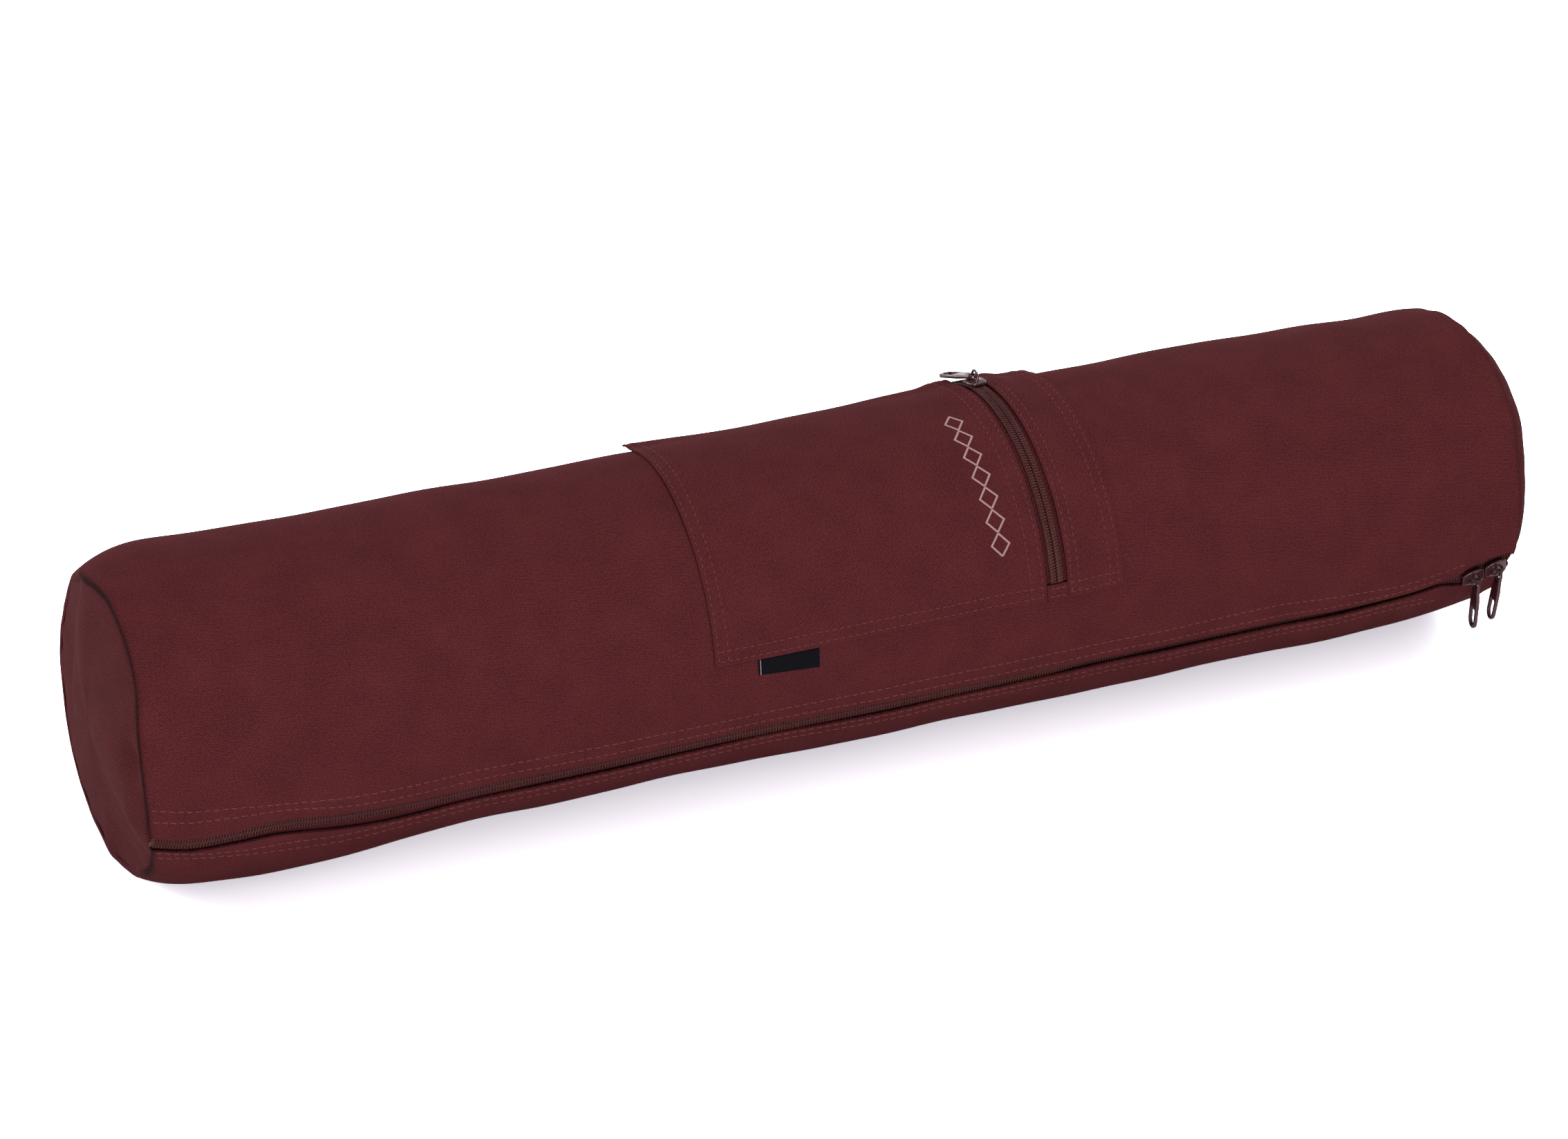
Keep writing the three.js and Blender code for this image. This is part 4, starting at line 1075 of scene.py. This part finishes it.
# %% The pocket's slider and pull
pocket_slider_angle = pocket_top_angle - float(degrees_for(22.4))
pocket_out = outward_at(pocket_slider_angle)
pocket_origin = bag_point(pocket_zip_middle, pocket_slider_angle, seat_gap + 1.0 + seat_gap + 1.6 + seat_gap)
pocket_axes = frame_axes(np.cross([-1.0, 0.0, 0.0], pocket_out), pocket_out)
pocket_arch = slider_wall + 2 * seat_gap + pull_wall / 2 + bail_bar / 4
shape = slider_shape(0.0, 6.2, pocket_arch)
pocket_slider = make_piece("pocket_slider_metal", *set_at(shape, pocket_origin, pocket_axes), metal_finish,
                           slot="painted_metal")
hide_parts("pocket_slider")
dipped = turn_about((0.0, 1.0, 0.0), 7.0)
flat = turn_about((0.0, 0.0, 1.0), 14.0)
pull_points, pull_faces = pull_shape()
pull_points = np.array([0, 0, pocket_arch]) + (np.array([arch_radius, 0, 0]) + pull_points @ flat.T) @ dipped.T
pocket_pull = make_piece("pocket_pull_metal", pocket_origin + pull_points @ pocket_axes.T, pull_faces, metal_finish,
                         body="pocket_zip_pull", slot="painted_metal")
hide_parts("pocket_pull")

# %% [markdown]
# ## Stitches
# Two rows of stitches hold each turned edge. A stitch is a short rounded bar of thread whose ends dive into the
# cloth. One stitch is worked out once and copied along every row, a shade lighter than the cloth.

# %% Rows of stitches
stitch_points, stitch_faces = bar([-1.55, -1.1, 0.0, 1.1, 1.55], [0.12, 0.24, 0.27, 0.24, 0.12],
                                  [0.12, 0.24, 0.27, 0.24, 0.12], [0.3, 0.02, -0.06, 0.02, 0.3])


def stitched(places, angles, lift, pitch=4.0, length=1.0):
    """Stitches at even steps along a row on the bag, turned along it, at a share of their full length."""
    line = bag_point(places, angles, lift)
    centres, forward, share = along_path(line, pitch)
    spread = np.linspace(0, 1, len(line))
    step = np.concatenate([[0], np.cumsum(np.linalg.norm(np.diff(line, axis=0), axis=1))])
    outwards = outward_at(np.interp(share * step[-1], step, np.broadcast_to(angles, (len(line),))))
    return repeated(stitch_points * [length, 1, 1], stitch_faces, centres, axes_from(forward, outwards))


rows = []
for column, last in ((1, 308.0), (2, 296.0), (3, 292.0), (4, 300.0)):
    places = np.linspace(-half_length + 1.5, last, 700)
    angles = follow(zip_rows[:, 0], zip_rows[:, column], places)
    rows.append(stitched(places, angles, body_relief(places, angles) + 0.08))
zip_stitches = make_piece("zip_stitches", *joined(rows), thread_finish)


def on_pocket(along, angle):
    """The height of the pocket's outer face."""
    return pocket_lift(along, angle) + pocket_wall + pocket_relief(along, angle)


rows = []
heights = np.linspace(pocket_hem_angle + 1.2, pocket_top_angle - 1.2, 300)
for along in pocket_upright_rows:
    rows.append(stitched(np.full(300, along), heights, on_pocket(along, heights) + 0.04, 3.6, 0.7))
for angle in pocket_hem_rows:
    for start, finish in ((pocket_left + 2, pocket_zip_left - 0.5), (pocket_zip_right + 0.5, pocket_right - 2)):
        places = np.linspace(start, finish, 300)
        rows.append(stitched(places, np.full(300, angle), on_pocket(places, angle) + 0.04, 3.6, 0.8))
foot_angles = pocket_hem_angle + degrees_for(np.array([2.0, 5.6]))
for angle in foot_angles:
    places = np.linspace(pocket_zip_left + 1.2, pocket_zip_right - 1.2, 40)
    rows.append(stitched(places, np.full(40, angle), on_pocket(places, angle) + 0.36, 2.6, 0.75))
pocket_stitches = make_piece("pocket_stitches", *joined(rows), quiet_thread, slot="pocket_canvas")

# %% A loose thread end
t = np.linspace(0, 1, 14)
top_of_strip = bag_point(102.0, pocket_top_angle, on_pocket(102.0, pocket_top_angle) - 0.5)
thread_line = np.stack([1.1 * t**2, 0 * t, 5.2 * t - 1.3 * t**2], axis=-1)
thread_points, thread_faces = wire(thread_line, 0.13, 6)
loose_end = make_piece("loose_thread_end", top_of_strip + thread_points, thread_faces, thread_finish,
                       slot="pocket_canvas")

# %% [markdown]
# ## A stitched chain of diamonds
# An upright band left of the pocket's zip carries pale embroidery. Here it is a plain chain of diamonds in satin
# stitch: short threads laid side by side across a zigzag line.


# %% The chain of diamonds
def satin(along, arc_height, width, spacing):
    """Threads laid across a closed line of corners, given along the bag and up the pocket."""
    line = np.stack([along, arc_height], axis=-1)
    step = np.concatenate([[0], np.cumsum(np.linalg.norm(np.diff(line, axis=0), axis=1))])
    at = np.arange(0.5 * spacing, step[-1], spacing)
    x, s = np.interp(at, step, along), np.interp(at, step, arc_height)
    angle = np.degrees(s / body_radius)
    centres = bag_point(x, angle, on_pocket(x, angle) + 0.06)
    side = np.sign(np.interp(at, step, np.arange(len(along))) % 2 - 1.0)
    outwards = outward_at(angle)
    across = np.stack([np.ones(len(at)), np.zeros(len(at)), np.zeros(len(at))], axis=-1)
    shape = stitch_points * [width / 3.1, 0.85, 0.8]
    return repeated(shape, stitch_faces, centres, axes_from(across, outwards))


parts = []
for k in range(7):
    middle = np.radians(31.0 + 8.3 * k) * body_radius
    corner_x = 66.5 + np.array([0, 4.3, 0, -4.3, 0])
    corner_s = middle + np.array([-5.2, 0, 5.2, 0, -5.2])
    parts.append(satin(corner_x, corner_s, 1.25, 0.36))
motif = make_piece("diamond_chain", *joined(parts), pink_thread, slot="pocket_canvas")

# %% [markdown]
# ## Floor and light
# The photograph was taken on white paper in soft light that comes from all round, a little stronger from the
# front. A bright sky-like world lights everything evenly, and large lamps give it direction.

# %% Floor
floor_mesh = bpy.data.meshes.new("floor")
floor_mesh.from_pydata([(-6, -6, -0.0004), (6, -6, -0.0004), (6, 6, -0.0004), (-6, 6, -0.0004)], [], [(0, 1, 2, 3)])
floor_material, floor_tree, unused_shader = material_base("white_paper")
floor_tree.nodes.remove(unused_shader)
seen = node(floor_tree, "ShaderNodeLightPath").outputs["Is Camera Ray"]
grain = node(floor_tree, "ShaderNodeTexNoise", {"Vector": node(floor_tree, "ShaderNodeTexCoord").outputs["Object"],
                                                "Scale": 40.0})
paper = node(floor_tree, "ShaderNodeMix", {"Factor": grain.outputs[0], 6: (0.8, 0.8, 0.81, 1),
                                           7: (0.86, 0.86, 0.87, 1)}, data_type="RGBA")
bleached = node(floor_tree, "ShaderNodeMix", {"Factor": seen, 6: paper.outputs[2], 7: (3.4, 3.5, 3.75, 1)},
                data_type="RGBA")
matt = node(floor_tree, "ShaderNodeBsdfDiffuse", {"Color": bleached.outputs[2]})
glow = node(floor_tree, "ShaderNodeEmission", {"Color": (0.9, 0.87, 1.0, 1),
                                               "Strength": sums(floor_tree, "MULTIPLY", seen, 0.04)})
both = node(floor_tree, "ShaderNodeAddShader", {0: matt.outputs[0], 1: glow.outputs[0]})
floor_tree.links.new(both.outputs[0], floor_tree.nodes["Material Output"].inputs["Surface"])
floor_mesh.materials.append(floor_material)
floor = bpy.data.objects.new("floor", floor_mesh)
bpy.context.scene.collection.objects.link(floor)

# %% Light
world = bpy.data.worlds.new("studio")
world.use_nodes = True
sky = world.node_tree
sky.nodes["Background"].inputs["Color"].default_value = (1.0, 0.995, 0.99, 1.0)
backdrop = node(sky, "ShaderNodeLightPath").outputs["Is Camera Ray"]
sky.links.new(sums(sky, "MULTIPLY_ADD", backdrop, 0.65, 0.35), sky.nodes["Background"].inputs["Strength"])
bpy.context.scene.world = world
bpy.context.scene.view_settings.view_transform = "Standard"


def softbox(name, place, target, size, power):
    """A large square lamp that faces a point."""
    lamp = bpy.data.lights.new(name, "AREA")
    lamp.size = size
    lamp.energy = power
    holder = bpy.data.objects.new(name, lamp)
    bpy.context.scene.collection.objects.link(holder)
    aim(holder, place, target)


softbox("front_softbox", (-0.3, -2.4, 0.55), (0, 0, 0.07), 1.0, 36.0)
softbox("top_softbox", (0.2, 0.3, 2.6), (0, 0, 0.0), 2.0, 40.0)
softbox("left_softbox", (-1.9, 1.5, 0.6), (-0.33, 0, 0.07), 1.0, 32.0)
softbox("right_softbox", (2.0, 1.2, 0.9), (0.33, 0, 0.07), 1.2, 14.0)
